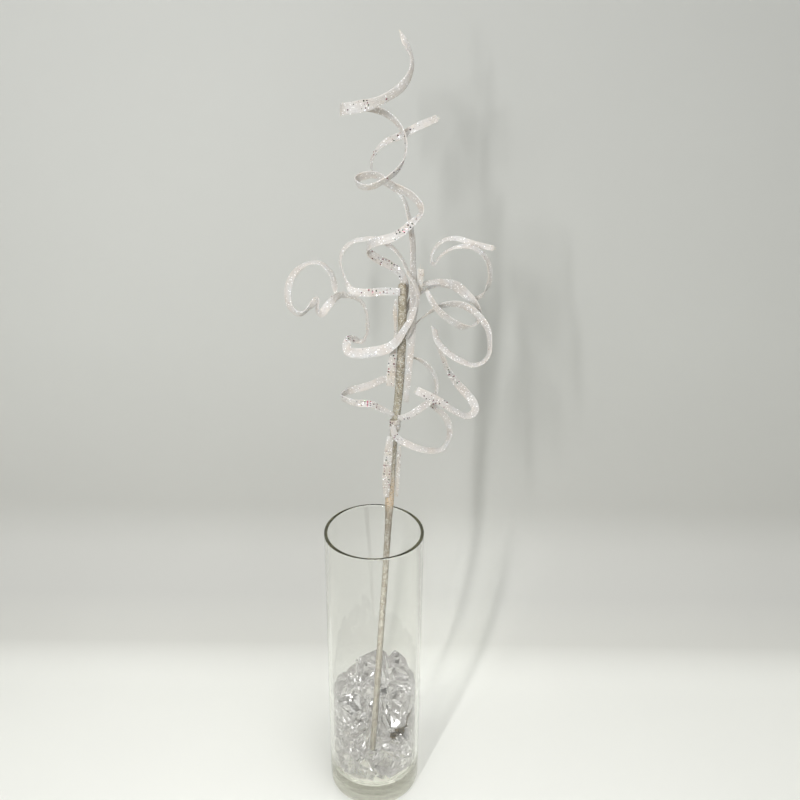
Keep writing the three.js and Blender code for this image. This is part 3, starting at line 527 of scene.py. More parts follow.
# %% Long strips
CURLS = {
    "leader_curl": [
        (24.3, 4.7, 512, 3, -13), (25, 5.6, 520, 5, None), (24.6, 6.8, 530, 6, -11),
        (20, 8.6, 538, 6.5, -15), (13, 9.6, 543, 7.2, 6), (4, 9, 548, 7.2, 6),
        (-5, 3, 558, 7.2, None), (2, -6, 566, 7.2, -1), (16, -9, 571, 7.2, -15),
        (29, -7, 581, 7.2, -33), (36.5, 0, 589.1, 6.8, -59), (29, 6.5, 599, 7.2, -56),
        (15, 7.5, 606, 7.2, -56), (-1, 6, 614.5, 7.2, -59), (-13, -1, 611, 7.2, None),
        (-4.8, -12, 608.6, 7.2, 74), (7.4, -18, 614.1, 6.8, 72), (19.2, -12, 622.7, 4.9, 68),
        (24.1, 0, 634, 2.8, -58), (20, 10, 648, 5.7, -67), (7.3, 18, 657.8, 7, -64),
        (-9.9, 15, 661.5, 6.6, -64), (-23.6, 3, 661.4, 8.8, (-1, 0, 0.1)),
        (-12, -12, 664.8, 8.8, 6), (5, -20, 670.2, 7.4, 52), (21, -16, 680, 7.2, 48),
        (27.3, -5, 690.3, 5.3, 62),
        (27, 4, 698, 3.8, 51), (23, 8, 706, 7.2, 44), (19, 10, 713.5, 1.3, -11),
    ],
    "second_curl": [
        (26.8, 0, 428, 4.5, 13), (28.4, 0, 450, 5, 2), (30.2, 0, 478, 6, 1),
        (31.2, 0, 500, 6, 1), (31.4, 0, 520, 5.5, 0), (31, 0, 544, 6.8, 47),
        (30, 3, 566, 6.8, 50), (27, 9, 582.5, 5.7, 55), (21, 16, 597, 4.6, 50),
        (11, 20, 603.5, 4.6, 47), (2, 17, 610, 3, 46), (-2, 10, 620.5, 2.7, -55),
        (1, 6, 630.5, 3.8, -47), (8.6, 8, 637.7, 6.8, -36), (21, 15, 642, 6.8, -21),
        (34, 15, 649, 6.8, -15), (46.8, 9, 655.2, 5, 22),
    ],
    "left_hoop": [
        (26.2, -3.2, 486, 3, 44), (29.5, -4.4, 493, 3, None), (32, -5, 501, 3, None),
        (34, -5.8, 513, 4, None), (35, -6.4, 525, 3.5, 34), (32, -6.8, 534, 4.4, 49),
        (27, -5.2, 542, 4.2, 54), (22.5, 0.5, 550.4, 3.8, 53), (15, 6, 558, 4.4, 42),
        (6, 9, 563, 4.4, 8), (-6.1, 10, 564, 4.4, 20), (-17.4, 8, 561.8, 4.4, 36),
        (-24, 4, 556, 4.4, 42), (-26, 0, 548, 3.4, 54), (-24, -4, 541, 3, 57),
        (-21, -8, 535.2, 3.4, 59), (-17, -11, 529.2, 5.4, 4), (-9, -11, 527.2, 6.2, 7),
        (8, -8, 527.2, 6.4, 7), (21, -5, 526.2, 6, 7),
    ],
    "left_coil": [
        (32.8, -8.4, 515, 3.5, 0), (30.3, -8.6, 506.5, 4.5, 0), (24.2, -8.6, 495, 5.5, 0),
        (17.2, -8, 484, 7, 0), (10, -8.7, 479, 8.4, -3), (-1, -10, 477, 8.4, -3),
        (-13, -9.5, 475.5, 8.2, -3), (-20.4, -6, 476, 7.6, 1), (-21.8, -1, 480.5, 6.5, 5),
        (-19.4, 4, 483, 6.4, -13), (-15.3, 8, 480.5, 6.4, -35), (-10.2, 9.5, 478.5, 5.7, -54),
        (-6.7, 9, 483.5, 2.8, -54), (-5, 8, 492, 3.8, -55), (-5.6, 7.4, 500, 3.8, -57),
        (-7, 6.5, 508, 3.4, -58), (-10, 5.5, 514, 4.2, -61), (-15, 4, 518, 5.7, -64),
        (-23, 1, 521, 6.4, -52), (-29, -5, 521.5, 6.4, -47), (-35.5, -8.5, 515.5, 6.4, -8),
        (-41.5, -9, 509, 6.4, -27), (-44.5, -4.5, 510.5, 5.7, -55), (-44.5, 1, 516.5, 5.7, -62),
        (-50.5, 2.5, 510.5, 6.4, -64), (-59, -3, 506, 6.4, -63), (-66, -1, 511, 6.4, -44),
        (-68, 0, 520, 6.4, -27), (-66, 0, 531, 6.4, -19), (-60, 0, 541, 6.4, -35),
        (-51, -1, 547, 4.9, -48), (-42, -2, 548, 4.9, -51), (-35, -4, 543, 6.4, -54),
        (-31, -6, 535, 6.4, -49), (-30, -8, 526, 3, -5),
    ],
    "left_bow": [
        (19.6, 4.2, 452, 4, -38), (12, 7, 447, 5.5, -27), (6.4, 9, 444.3, 6.2, 13),
        (-4, 11, 438, 6.5, -2), (-15, 10, 435, 6.5, -2), (-24, 5, 434, 6.2, -46),
        (-27, -1, 433, 4.9, None), (-23, -7, 433, 6.2, 48), (-14, -11, 432, 6.2, 27),
        (-2.7, -11, 431.2, 6.2, -28), (7, -8, 425, 5, -18), (16.4, -3.9, 417.5, 4, 20),
    ],
    "right_coil": [
        (25.7, 3.7, 504, 2.5, -30), (29.5, 5, 518, 2.5, None), (36, 5.5, 527, 3, None),
        (45, 8, 530, 6.4, -46), (56, 12, 529, 6.4, -24), (67, 16, 524, 8.4, 9),
        (76, 15, 516.5, 7.2, 8), (83, 12, 510.5, 6.4, 64), (86, 8, 503, 4.2, 64),
        (82, 1, 498, 4.9, 58), (72, -6, 497.7, 6.4, -55), (63.5, -9, 502.9, 6.4, -48),
        (54.2, -10, 510.2, 6.4, -49), (47, -8, 518.2, 6.4, -54), (42.1, -3, 526.6, 3, -4),
    ],
    "right_long_spiral": [
        (25.8, 3.5, 488, 1.2, -10), (31, 4.6, 493.5, 1.3, None), (40.4, 3, 503, 1.4, None),
        (46, 0, 508.5, 3.8, 63), (53, -1, 513, 6.2, 59), (65, 0.5, 515, 6.2, 46),
        (77, 0, 511, 6.2, 37), (85.4, -3, 504.4, 6.2, 40), (91, -7, 497, 6.2, 49),
        (92.7, -12, 487.9, 6.2, 60), (91, -18, 477, 5.3, 62), (82, -22, 472, 6.2, 56),
        (70, -24, 476, 6.2, 39), (58, -22, 483, 6.2, 38), (50.4, -18.5, 491.4, 6.2, 41),
        (48.3, -14, 499, 5.7, None), (48.3, -8, 496.5, 5.7, None), (50.5, -3, 488, 6.2, 53),
        (54, 1, 477, 6.2, 47), (57, 3.5, 467.5, 6.2, 59), (60, 5, 458.5, 6.2, 54),
        (65, 7, 449, 6.2, 32), (74, 8, 437, 7, 4), (83, 5, 427, 7, 4), (85, -2, 422.3, 6.6, 6),
        (80, -8, 420, 6.2, 24), (67, -12, 426, 6.2, 35), (55, -13, 435, 6.2, -1),
        (44.4, -12, 439.7, 7, -1), (35.4, -10, 443.5, 6.5, -1),
    ],
    "top_ring": [
        (24.4, 4.4, 494, 2.5, -17), (29, 9, 511, 2.5, None), (39, 14, 521, 4.2, -39),
        (53, 20, 524, 4.2, -37), (68, 24, 519, 4.2, -28), (80, 23, 512, 4.2, -28),
        (87, 16, 517, 4.2, -47), (91, 7, 528.5, 4.2, 39), (91.4, 1, 539.9, 4.2, 19),
        (88, -3, 552, 4.2, 22), (81, -6, 560, 4.2, 24), (71, -8, 564, 4.2, 34),
        (60, -8, 562, 3.8, 50), (52, -6, 556, 2.8, 52), (47, -2, 548, 2.7, None),
        (45, 4, 549, 3, -62), (47, 9, 556, 3.8, -55), (54, 11, 563, 4.2, -40),
        (64, 9, 565.6, 4.2, -11), (73.6, 6, 563.7, 4.5, 11), (83.8, 4, 561.3, 4.8, 11),
        (93, 2, 560, 4.2, 11),
    ],
    "low_arc": [
        (20.3, -4.3, 416, 4, 34), (24.1, -5.8, 416.3, 5.5, None), (30.3, -7, 419.3, 5.8, 14),
        (39, -7, 426, 6, -1), (47.4, -4, 431.6, 5.8, -32), (52.2, 0, 439.2, 4.6, -60),
        (51.2, 5, 447.7, 5.8, -60), (46.5, 8, 455.5, 5.8, -52), (40, 8, 462, 4.9, -61),
        (31.5, 6.5, 466, 2, None),
    ],
    "low_hoop": [
        (17.2, -6, 409, 4, -8), (17.4, -6.4, 402, 6, 9), (21, -7.3, 397, 6, None),
        (28, -8, 393, 6, -2), (38, -9, 389, 6, -24), (48, -7, 386, 6, -29),
        (58, -2, 385, 6, -50), (62.7, 3, 388.9, 6, -62), (65.1, 7, 395.9, 6, -43),
        (63.6, 9, 404.3, 6, -28), (57.9, 9, 413.8, 6, -32), (51, 7, 421, 6, -35),
        (46, 5, 428, 4, -2),
    ],
}
for seed, (name, route) in enumerate(CURLS.items(), start=1):
    wood_strip(name, route, strip_wood, "strip_wood", seed)

# %% [markdown]
# ## Strips that lie on the stick
# Three flat strips and a short frayed spur lie along the stick. They are made the same way, with
# edges that waver more.

# %% Laid strips
LAID = {
    "laid_strip_top_left": [
        (13.6, -1, 443, 6.5, 0), (14.4, -0.7, 456, 7.5, 0), (15.3, -0.5, 468, 6, 0),
        (17, 0, 480, 2.6, 0), (17.5, 0.4, 497, 2.4, 0), (17, 0.8, 508, 4, 0),
        (17.9, 1, 518, 2, 0),
    ],
    "laid_strip_front_left": [
        (10.8, -5.2, 338, 5, 0), (11.2, -5.1, 356, 7.4, 0), (12.2, -4.9, 378, 7.4, 0),
        (14.4, -4.5, 398, 6, 0),
    ],
    "laid_strip_right": [
        (20, 1, 335, 2.5, 0), (20.6, 1, 352, 3.5, 0), (21.2, 1, 370, 3.5, 0),
        (22.1, 1, 386, 2.5, 0),
    ],
    "frayed_spur": [
        (36.4, -0.4, 523, 2.5, 0), (36.8, 0, 532, 4.5, 0), (37, 0.6, 543, 5, 0),
    ],
}
for seed, (name, route) in enumerate(LAID.items(), start=21):
    wood_strip(name, route, laid_wood, "laid_wood", seed, waver=0.16)

# %% [markdown]
# ## The stick
# The stick is one shoot of willow with its bark on. It is slightly bent, and thicker above the
# vase than in it, which a stretched cylinder can't follow. So it starts as a circle, which is
# extruded from station to station and scaled to the radius there. It is then subdivided and
# roughened by two Displace modifiers with cloud textures, for lumps and for fine ridges. The
# bark's colour changes with height, so its material reads the height through a colour ramp.
# Streaks drawn out along the stick, pale dust and frost lie over that.

# %% Stick stations
STATIONS = [
    ((-1.1, -27, 60.2), 2.8), ((1.7, -22.2, 108.5), 2.9),
    ((5.1, -16.4, 168.7), 2.9), ((7.8, -11.7, 216), 2.9), ((10.9, -6.4, 270.4), 2.9),
    ((12.5, -3.3, 302.5), 3), ((13.2, -1.7, 319.1), 3.5), ((13.8, 0, 336), 4.2),
    ((15, 0, 368), 3.9), ((17.5, 0, 403), 3.4), ((20, 0, 425), 3.4), ((21.7, 0, 450), 3.6),
    ((22.6, 0, 480), 3.7), ((23, 0, 508), 3.6), ((22.8, 0, 526), 3.5), ((22.6, 0, 531), 2.9),
]


def stick_at(height):
    """The middle of the stick and its radius at a height."""
    for (low, thin), (high, thick) in zip(STATIONS, STATIONS[1:]):
        if high[2] >= height:
            share = (height - low[2]) / (high[2] - low[2])
            return Vector(low).lerp(Vector(high), share), thin + (thick - thin) * share
    return Vector(STATIONS[-1][0]), STATIONS[-1][1]


print("the stick stands from", STATIONS[0][0][2], "to", STATIONS[-1][0][2], "mm up")

# %% Finish: bark
bark, tree, shader = new_material("willow_bark", IOR=1.45)
spots = spots_of(tree)
height = add_node(tree, "SeparateXYZ", {0: spots}).outputs["Z"]
drawn_out = add_node(tree, "Mapping", {"Vector": spots, "Scale": (560, 560, 36)}).outputs[0]
grain = add_noise(tree, drawn_out, 1.0, 4.0, 0.65)
blotch = add_noise(tree, spots, 120.0)
level = add_node(tree, "MapRange", {
    "Value": height, "From Min": 0.3, "From Max": 0.54}).outputs[0]
zones = add_ramp(tree, level, [
    (0.0, (0.31, 0.28, 0.225)), (0.09, (0.31, 0.272, 0.21)), (0.13, (0.60, 0.45, 0.30)),
    (0.2, (0.54, 0.43, 0.31)), (0.25, (0.42, 0.39, 0.32)), (0.4, (0.33, 0.30, 0.235)),
    (0.5, (0.36, 0.335, 0.26)), (0.7, (0.27, 0.24, 0.185)), (0.9, (0.30, 0.265, 0.195)),
    (0.96, (0.31, 0.26, 0.18)), (0.99, (0.42, 0.27, 0.15))])
streaks = add_ramp(tree, grain, [(0.32, (0.6,)), (0.68, (1.2,))])
streaked = mix_colour(tree, 1.0, zones, streaks, "MULTIPLY")
dust = add_ramp(tree, add_noise(tree, spots, 230.0, 5.0, 0.65), [(0.46, (0.0,)), (0.66, (0.55,))])
dusted = mix_colour(tree, dust, streaked, (0.60, 0.585, 0.535))
frost = add_node(
    tree, "Group", {"Scale": 1300.0, "Bright": 0.84, "Dark": 0.12}, node_tree=frost_group)
frosted = mix_colour(tree, frost.outputs["Bright mask"], dusted, (0.52, 0.49, 0.42))
specked = mix_colour(tree, frost.outputs["Dark mask"], frosted, (0.24, 0.21, 0.15))
tree.links.new(specked, shader.inputs["Base Color"])
gloss = add_ramp(tree, frost.outputs["Bright mask"], [(0.0, (0.75,)), (1.0, (0.3,))])
tree.links.new(gloss, shader.inputs["Roughness"])
relief = add_node(tree, "Math", {0: grain, 1: blotch})
add_bump(tree, shader, relief.outputs[0], 0.6, 0.6)
print("finish:", bark.name)

# %% Extrude the stick
STICK_SIDES = 16
centre, radius = Vector(STATIONS[0][0]), STATIONS[0][1]
bpy.ops.mesh.primitive_circle_add(
    vertices=STICK_SIDES, radius=radius * MM, fill_type="NGON", location=centre * MM)
stick = bpy.context.object
apply_all(stick)
edit(stick, select_all=True)
for at, next_radius in STATIONS[1:]:
    step = (Vector(at) - centre) * MM
    bpy.ops.mesh.extrude_region_move(TRANSFORM_OT_translate={"value": step})
    ratio = next_radius / radius
    bpy.ops.transform.resize(value=(ratio, ratio, 1), center_override=Vector(at) * MM)
    centre, radius = Vector(at), next_radius
leave_edit()
face_outwards(stick)
print("extruded the stick through", len(STATIONS), "stations")

# %% Roughen the bark
CUTS_BETWEEN_STATIONS = 11


def climbs(middle, part):
    """A test for the edges that run from one station to the next."""
    low, high = (stick.data.vertices[i].co.z for i in part.vertices)
    return abs(high - low) > 3 * MM


def roughen(piece, name, size_mm, strength_mm, mid_level=0.5):
    """Adds a Displace modifier that moves the surface in and out by a cloud texture."""
    clouds = bpy.data.textures.get(name) or bpy.data.textures.new(name, "CLOUDS")
    clouds.noise_scale = size_mm * MM
    displace = piece.modifiers.new(name, "DISPLACE")
    displace.texture = clouds
    displace.texture_coords = "LOCAL"
    displace.strength = strength_mm * MM
    displace.mid_level = mid_level


edit(stick)
pick(stick, "edge", climbs)
bpy.ops.mesh.subdivide(number_cuts=CUTS_BETWEEN_STATIONS)
leave_edit()
roughen(stick, "bark_lumps", 7, 0.7)
finer = stick.modifiers.new("finer", "SUBSURF")
finer.levels = finer.render_levels = 1
roughen(stick, "bark_ridges", 1.6, 0.35)
apply_all(stick)
only(stick)
bpy.ops.object.shade_smooth()
hand_over(stick, "barked_stick", bark, "bark", "stick")

# %% [markdown]
# ## The wrapping
# One more strip is wound round the stick in a tight coil, narrow at both ends. Its route is a
# helix that keeps a hair's breadth off the bark, and the strip maker does the rest.

# %% Wind the wrapping
SEAT = 0.5
FIRST_MM, TURNS, RISE_MM, PER_TURN = 402, 2.4, 4.9, 14
NARROW, WIDE = 2.6, 4.2
count = round(TURNS * PER_TURN)
route = []
for i in range(count + 1):
    turned = i / PER_TURN
    height_mm = FIRST_MM + RISE_MM * turned
    middle, radius = stick_at(height_mm)
    reach = radius + SEAT + THICKNESS / 2
    fullness = min(2 * min(i, count - i) / PER_TURN, 1)
    x, y = math.cos(2 * math.pi * turned), math.sin(2 * math.pi * turned)
    route.append((middle.x + reach * x, middle.y + reach * y, height_mm,
                  NARROW + (WIDE - NARROW) * fullness, (x, y, 0)))
wood_strip("wrapping", route, laid_wood, "laid_wood", 31, waver=0.1)

# %% [markdown]
# ## Clear glass and clear acrylic
# Both are a Principled shader with full transmission. Rays that go to a lamp pass straight
# through, by way of the Light Path node, or everything inside the vase would lie in the dark: a
# path tracer finds the light that glass bends only by luck. Those rays are dimmed most where they
# graze the surface, so the edges throw the darkest shadow. The body of the glass absorbs a little
# light for each millimetre, and that is why its rim is dark: what is seen there has run down
# inside the wall all the way to the base.

# %% Finishes: glass and acrylic
def mix_surfaces(tree, factor, first, second):
    """Makes the material show one shader or the other, by a factor."""
    mixed = add_node(tree, "MixShader", {0: factor, 1: first, 2: second})
    tree.links.new(mixed.outputs[0], tree.nodes["Material Output"].inputs["Surface"])


def clear_finish(name, colour, ior, shade, edge_shade, body_tint, density):
    material, tree, shader = new_material(
        name, Base_Color=(*colour, 1), IOR=ior, Roughness=0.0, Transmission_Weight=1.0)
    path = add_node(tree, "LightPath")
    grazing = add_node(tree, "LayerWeight", {"Blend": 0.5}).outputs["Facing"]
    let_through = add_ramp(tree, grazing, [(0.0, shade), (0.6, shade), (0.95, edge_shade)])
    through = add_node(tree, "BsdfTransparent", {"Color": let_through})
    mix_surfaces(tree, path.outputs["Is Shadow Ray"], shader.outputs[0], through.outputs[0])
    body = add_node(tree, "VolumeAbsorption", {
        "Color": (*body_tint, 1), "Density": density})
    tree.links.new(body.outputs[0], tree.nodes["Material Output"].inputs["Volume"])
    return material


glass = clear_finish(
    "clear_glass", colour=(0.972, 0.975, 0.965), ior=1.5, shade=(0.95, 0.955, 0.95),
    edge_shade=(0.3, 0.31, 0.32), body_tint=(0.64, 0.63, 0.53), density=15)
acrylic = clear_finish(
    "clear_acrylic", colour=(0.955, 0.95, 0.955), ior=1.49, shade=(0.86, 0.86, 0.87),
    edge_shade=(0.6, 0.6, 0.62), body_tint=(0.78, 0.765, 0.76), density=10)
print("finishes:", glass.name, acrylic.name)

# %% [markdown]
# ## The vase
# A profile spun round the axis would make the vase too, but every point of its roundings would
# have to be worked out, while on a cylinder a bevel makes each. The cylinder's top is inset by the
# wall's thickness and pushed down to the top of the solid base. Bevels then round the foot, the
# rim and the well where the wall meets the floor inside. Smooth shading would spread those
# roundings over the whole wall and bend all that is seen through it, so rings cut close to each
# rounding keep it straight.

# %% Hollow the vase
HEIGHT, RADIUS, WALL, BASE = 300, 45, 3, 22
VASE_SIDES = 160
bpy.ops.mesh.primitive_cylinder_add(
    vertices=VASE_SIDES, radius=RADIUS * MM, depth=HEIGHT * MM, location=(0, 0, HEIGHT / 2 * MM))
vase = bpy.context.object
apply_all(vase)
edit(vase)
pick(vase, "face", lambda middle, part: part.normal.z > 0.9)
bpy.ops.mesh.inset(thickness=WALL * MM)
bpy.ops.mesh.extrude_region_move(
    TRANSFORM_OT_translate={"value": (0, 0, (BASE - HEIGHT) * MM)})
print("hollowed", HEIGHT - BASE, "mm deep")

# %% Round the vase's edges
HEEL, WELL, LIP = 6, 12, 1.45
RING_GAP = 1


def ring_edges(height, radius):
    """A test for the edges of one level ring of the vase."""
    def test(middle, part):
        ends = [vase.data.vertices[i].co for i in part.vertices]
        return all(abs(end.z - height * MM) < 0.1 * MM
                   and abs(end.xy.length - radius * MM) < 0.2 * MM for end in ends)
    return test


for height_mm, ring_radius, rounding, segments in (
        (0, RADIUS, HEEL, 10), (BASE, RADIUS - WALL, WELL, 14),
        (HEIGHT, RADIUS, LIP, 6), (HEIGHT, RADIUS - WALL, LIP, 6)):
    found = pick(vase, "edge", ring_edges(height_mm, ring_radius))
    bpy.ops.mesh.bevel(offset=rounding * MM, segments=segments, affect="EDGES")
    print("rounded", found, "edges at", height_mm, "mm")
for height_mm in (HEEL + RING_GAP, BASE + WELL + RING_GAP, HEIGHT - LIP - RING_GAP):
    take_all()
    bpy.ops.mesh.bisect(plane_co=(0, 0, height_mm * MM), plane_no=(0, 0, 1))
for height_mm in (0, BASE):
    pick(vase, "face", lambda middle, part: (
        abs(middle.z - height_mm * MM) < 0.01 * MM and abs(part.normal.z) > 0.99
        and middle.xy.length < MM))
    bpy.ops.mesh.inset(thickness=RING_GAP * MM)
leave_edit()
face_outwards(vase)
smooth(vase, 30)
hand_over(vase, "glass_cylinder", glass, "glass", "vase")

# %% [markdown]
# ## The acrylic chunks
# The chunks are cast to look like broken ice. Each starts as a copy of its own node, whose loose
# triangles are merged. Its edges are cut back by a wide bevel, which adds small faces between the
# large ones, and a face left standing on one edge only is deleted. A Displace modifier then tilts
# them all a little. Every face stays flat, because it is the many small flat faces that make the
# heap glitter.

# %% Shape the chunks
CHUNKS = 38
MERGED, CUT_BACK = 0.9, 1.6
RIPPLE, RIPPLE_DEPTH = 4, 4


def add_piece(name, mesh):
    piece = bpy.data.objects.new(name, mesh)
    bpy.context.scene.collection.objects.link(piece)
    return piece


for number in range(1, CHUNKS + 1):
    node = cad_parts[f"acrylic_chunk_{number:02d}"]
    chunk = add_piece("chunk", node.data.copy())
    edit(chunk, select_all=True)
    bpy.ops.mesh.remove_doubles(threshold=MERGED * MM)
    bpy.ops.mesh.dissolve_limited(angle_limit=math.radians(2))
    take_all()
    bpy.ops.mesh.bevel(offset=CUT_BACK * MM, segments=1, affect="EDGES", clamp_overlap=True)
    take_all()
    bpy.ops.mesh.quads_convert_to_tris()
    bpy.ops.mesh.select_mode(type="EDGE")
    bpy.ops.mesh.select_all(action="DESELECT")
    bpy.ops.mesh.select_non_manifold(
        use_wire=False, use_multi_face=False, use_non_contiguous=False, use_verts=False)
    bpy.ops.mesh.delete(type="EDGE")
    leave_edit()
    roughen(chunk, "cast_ripple", RIPPLE, RIPPLE_DEPTH, mid_level=0.6)
    apply_all(chunk)
    only(chunk)
    bpy.ops.object.shade_flat()
    hand_over(chunk, f"clear_chunk_{number:02d}", acrylic, "acrylic", node.name)

# %% [markdown]
# ## The dried sprig
# A small dry sprig is caught between the chunks and the glass. So little of it shows through them
# that its twig and buds aren't modelled again: it is a copy of its node, merged and subdivided,
# and crumpled by a fine cloud texture. One noise gives both its brown flecks and its relief.

# %% Finish and shape of the sprig
dry, tree, shader = new_material("dry_brown", IOR=1.4, Roughness=0.85)
fleck = add_noise(tree, spots_of(tree), 500.0, 4.0)
tree.links.new(add_ramp(tree, fleck, [
    (0.3, (0.01, 0.007, 0.003)), (0.5, (0.04, 0.028, 0.01)), (0.7, (0.16, 0.115, 0.045))]),
    shader.inputs["Base Color"])
add_bump(tree, shader, fleck, 0.7, 0.4)
sprig = add_piece("sprig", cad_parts["dried_sprig"].data.copy())
edit(sprig, select_all=True)
bpy.ops.mesh.remove_doubles(threshold=0.01 * MM)
bpy.ops.mesh.subdivide(number_cuts=2)
leave_edit()
roughen(sprig, "crumple", 1.5, 0.6)
apply_all(sprig)
smooth(sprig, 45)
hand_over(sprig, "dry_sprig", dry, "dry_sprig", "dried_sprig")

# %% [markdown]
# ## Loose glitter
# Besides the fine frost, larger flakes stick to the strips in clusters, and smaller ones lie
# scattered over the wood and the bark. Drawn in the material alone, none would stand off the wood
# or show at its edge, so each is a thin hexagon. Each has its own tilt, so that from any side a
# few catch the light and the rest stay dark. One flake is modelled and then copied many times
# into one mesh, and an attribute gives each copy its tint.

# %% Finish: glitter
glitter, tree, shader = new_material("foil_glitter", Metallic=1.0, Roughness=0.22)
tint = add_node(tree, "Attribute", attribute_name="tint")
speckle = add_node(tree, "TexNoise", {"Vector": spots_of(tree), "Scale": 2500.0})
shaded = mix_colour(tree, 0.25, tint.outputs["Color"], speckle.outputs["Color"], "SOFT_LIGHT")
tree.links.new(shaded, shader.inputs["Base Color"])
print("finish:", glitter.name)

# %% Tints and clusters
TINTS = {
    "silver": (0.95, 0.95, 0.97), "smoke": (0.10, 0.10, 0.12), "rose": (0.42, 0.17, 0.21),
    "wine": (0.22, 0.06, 0.09), "moss": (0.12, 0.20, 0.12), "gold": (0.55, 0.38, 0.16),
}
DARK_MIX = ["smoke", "wine", "wine", "rose", "moss", "silver"]
BARK_MIX = ["gold", "silver", "smoke", "gold", "wine"]
CLUSTERS = [
    ("leader_curl", 23.4, 1.3, 22, DARK_MIX), ("leader_curl", 17, 1.2, 26, DARK_MIX),
    ("leader_curl", 8.6, 0.9, 34, DARK_MIX), ("leader_curl", 4.2, 1.6, 34, DARK_MIX),
    ("second_curl", 14, 0.8, 26, DARK_MIX), ("second_curl", 12, 0.3, 6, DARK_MIX),
    ("left_hoop", 17.6, 0.7, 26, DARK_MIX), ("left_bow", 8.9, 1.0, 30, DARK_MIX),
    ("left_coil", 9.0, 0.9, 14, DARK_MIX), ("left_coil", 5.0, 0.6, 8, ["silver"]),
    ("right_long_spiral", 20.6, 1.1, 26, DARK_MIX),
    ("right_long_spiral", 27.5, 0.9, 20, DARK_MIX),
    ("low_hoop", 11.4, 0.7, 10, DARK_MIX), ("low_hoop", 1.8, 0.8, 12, DARK_MIX),
    ("low_arc", 1.8, 0.8, 8, DARK_MIX), ("laid_strip_top_left", 1.5, 1.0, 20, DARK_MIX),
    ("laid_strip_front_left", 1.5, 1.0, 26, DARK_MIX), ("wrapping", 17, 10, 16, DARK_MIX),
]
print(len(CLUSTERS), "clusters in", len(TINTS), "tints")

# %% Model one flake
FOIL = 0.06


def take_apart(piece):
    """Removes a piece and returns its points and faces, to be copied into another mesh."""
    points = [vertex.co.copy() for vertex in piece.data.vertices]
    faces = [tuple(face.vertices) for face in piece.data.polygons]
    bpy.data.objects.remove(piece)
    return points, faces


bpy.ops.mesh.primitive_circle_add(vertices=6, radius=0.5, fill_type="NGON")
flake = bpy.context.object
edit(flake, select_all=True)
bpy.ops.mesh.extrude_region_move(TRANSFORM_OT_translate={"value": (0, 0, FOIL)})
leave_edit()
face_outwards(flake)
flake_points, flake_faces = take_apart(flake)
print("one flake has", len(flake_faces), "faces")

# %% Spots on a strip
EDGE_MARGIN = 0.42
CLEAR_OF_WOOD = 0.12
draw = random.Random(12)


def on_strip(name, knot, side, over):
    """A spot on a strip's face and the direction that the face looks there.

    knot counts along the strip's own points, side runs from -1 to 1 across it, and over is 1 for
    the front, -1 for the back and in between for a spot inside the wood.
    """
    strip = STRIPS[name]
    knots = strip["knots"]
    knot = min(max(knot, 0), len(knots) - 1.001)
    low = int(knot)
    i = round(knots[low] + (knots[low + 1] - knots[low]) * (knot - low))
    out = strip["faces"][i] * over
    spot = (strip["places"][i] + strip["across"][i] * side * strip["widths"][i] * EDGE_MARGIN
            + out * (THICKNESS / 2 + CLEAR_OF_WOOD))
    return Vector(spot) * MM, Vector(out)


def scattered(name, knot):
    """A spot anywhere across either face of a strip."""
    return on_strip(name, knot, draw.uniform(-1, 1), draw.choice((-1, 1)))


# %% Find spots for the flakes
CROWDING = 1.5
CLUSTER_SIZES, LOOSE_SIZES, BARK_SIZES = (0.65, 1.35), (0.3, 0.6), (0.35, 0.8)
LOOSE_PER_MM, LOOSE_SILVER = 0.15, 0.93
ON_BARK, BARK_HEIGHTS = 420, (335, 528, 425)
CLEAR_OF_BARK = 0.2
flakes = []
for name, knot, spread, count, tints in CLUSTERS:
    for _ in range(round(count * CROWDING)):
        where, facing = scattered(name, draw.gauss(knot, spread / 2))
        flakes.append((where, facing, draw.uniform(*CLUSTER_SIZES), draw.choice(tints)))
for name, strip in STRIPS.items():
    for _ in range(int(strip["run"][-1] * LOOSE_PER_MM)):
        where, facing = scattered(name, draw.uniform(0, len(strip["knots"]) - 1))
        tint_name = "silver" if draw.random() < LOOSE_SILVER else draw.choice(DARK_MIX)
        flakes.append((where, facing, draw.uniform(*LOOSE_SIZES), tint_name))
for _ in range(ON_BARK):
    middle, radius = stick_at(draw.triangular(*BARK_HEIGHTS))
    angle = draw.uniform(0, 2 * math.pi)
    facing = Vector((math.cos(angle), math.sin(angle), 0))
    where = (middle + facing * (radius + CLEAR_OF_BARK)) * MM
    flakes.append((where, facing, draw.uniform(*BARK_SIZES), draw.choice(BARK_MIX)))
print("spots for", len(flakes), "flakes")

# %% Copy the flake to every spot
TILT = 0.22
points, faces, tints = [], [], []
for where, facing, size, tint_name in flakes:
    lean = Vector([draw.gauss(0, TILT) for _ in range(3)])
    turned = (facing + lean).normalized().to_track_quat("Z", "Y").to_matrix()
    turned = turned @ Matrix.Rotation(draw.uniform(0, 1), 3, "Z")
    start = len(points)
    points += [where + turned @ (point * size * MM) for point in flake_points]
    faces += [tuple(start + i for i in face) for face in flake_faces]
    tints += [TINTS[tint_name]] * len(flake_faces)
mesh = bpy.data.meshes.new("loose_glitter")
mesh.from_pydata(points, [], faces)
mesh.attributes.new("tint", "FLOAT_COLOR", "FACE")
mesh.attributes["tint"].data.foreach_set(
    "color", np.array([(*colour, 1) for colour in tints], np.float32).ravel())
hand_over(add_piece("flakes", mesh), "loose_glitter", glitter, None)

# %% [markdown]
# ## Loose fibres and bud scars
# Where a strip was torn off, the wood frays. One fibre is modelled as a thin cone with rings cut
# round it. Copies of it are bent and set on the spur, on the stick's top, at the free ends of the
# strips and along the edges of the laid ones. Two small dark scars, squashed balls, mark where
# buds stood.

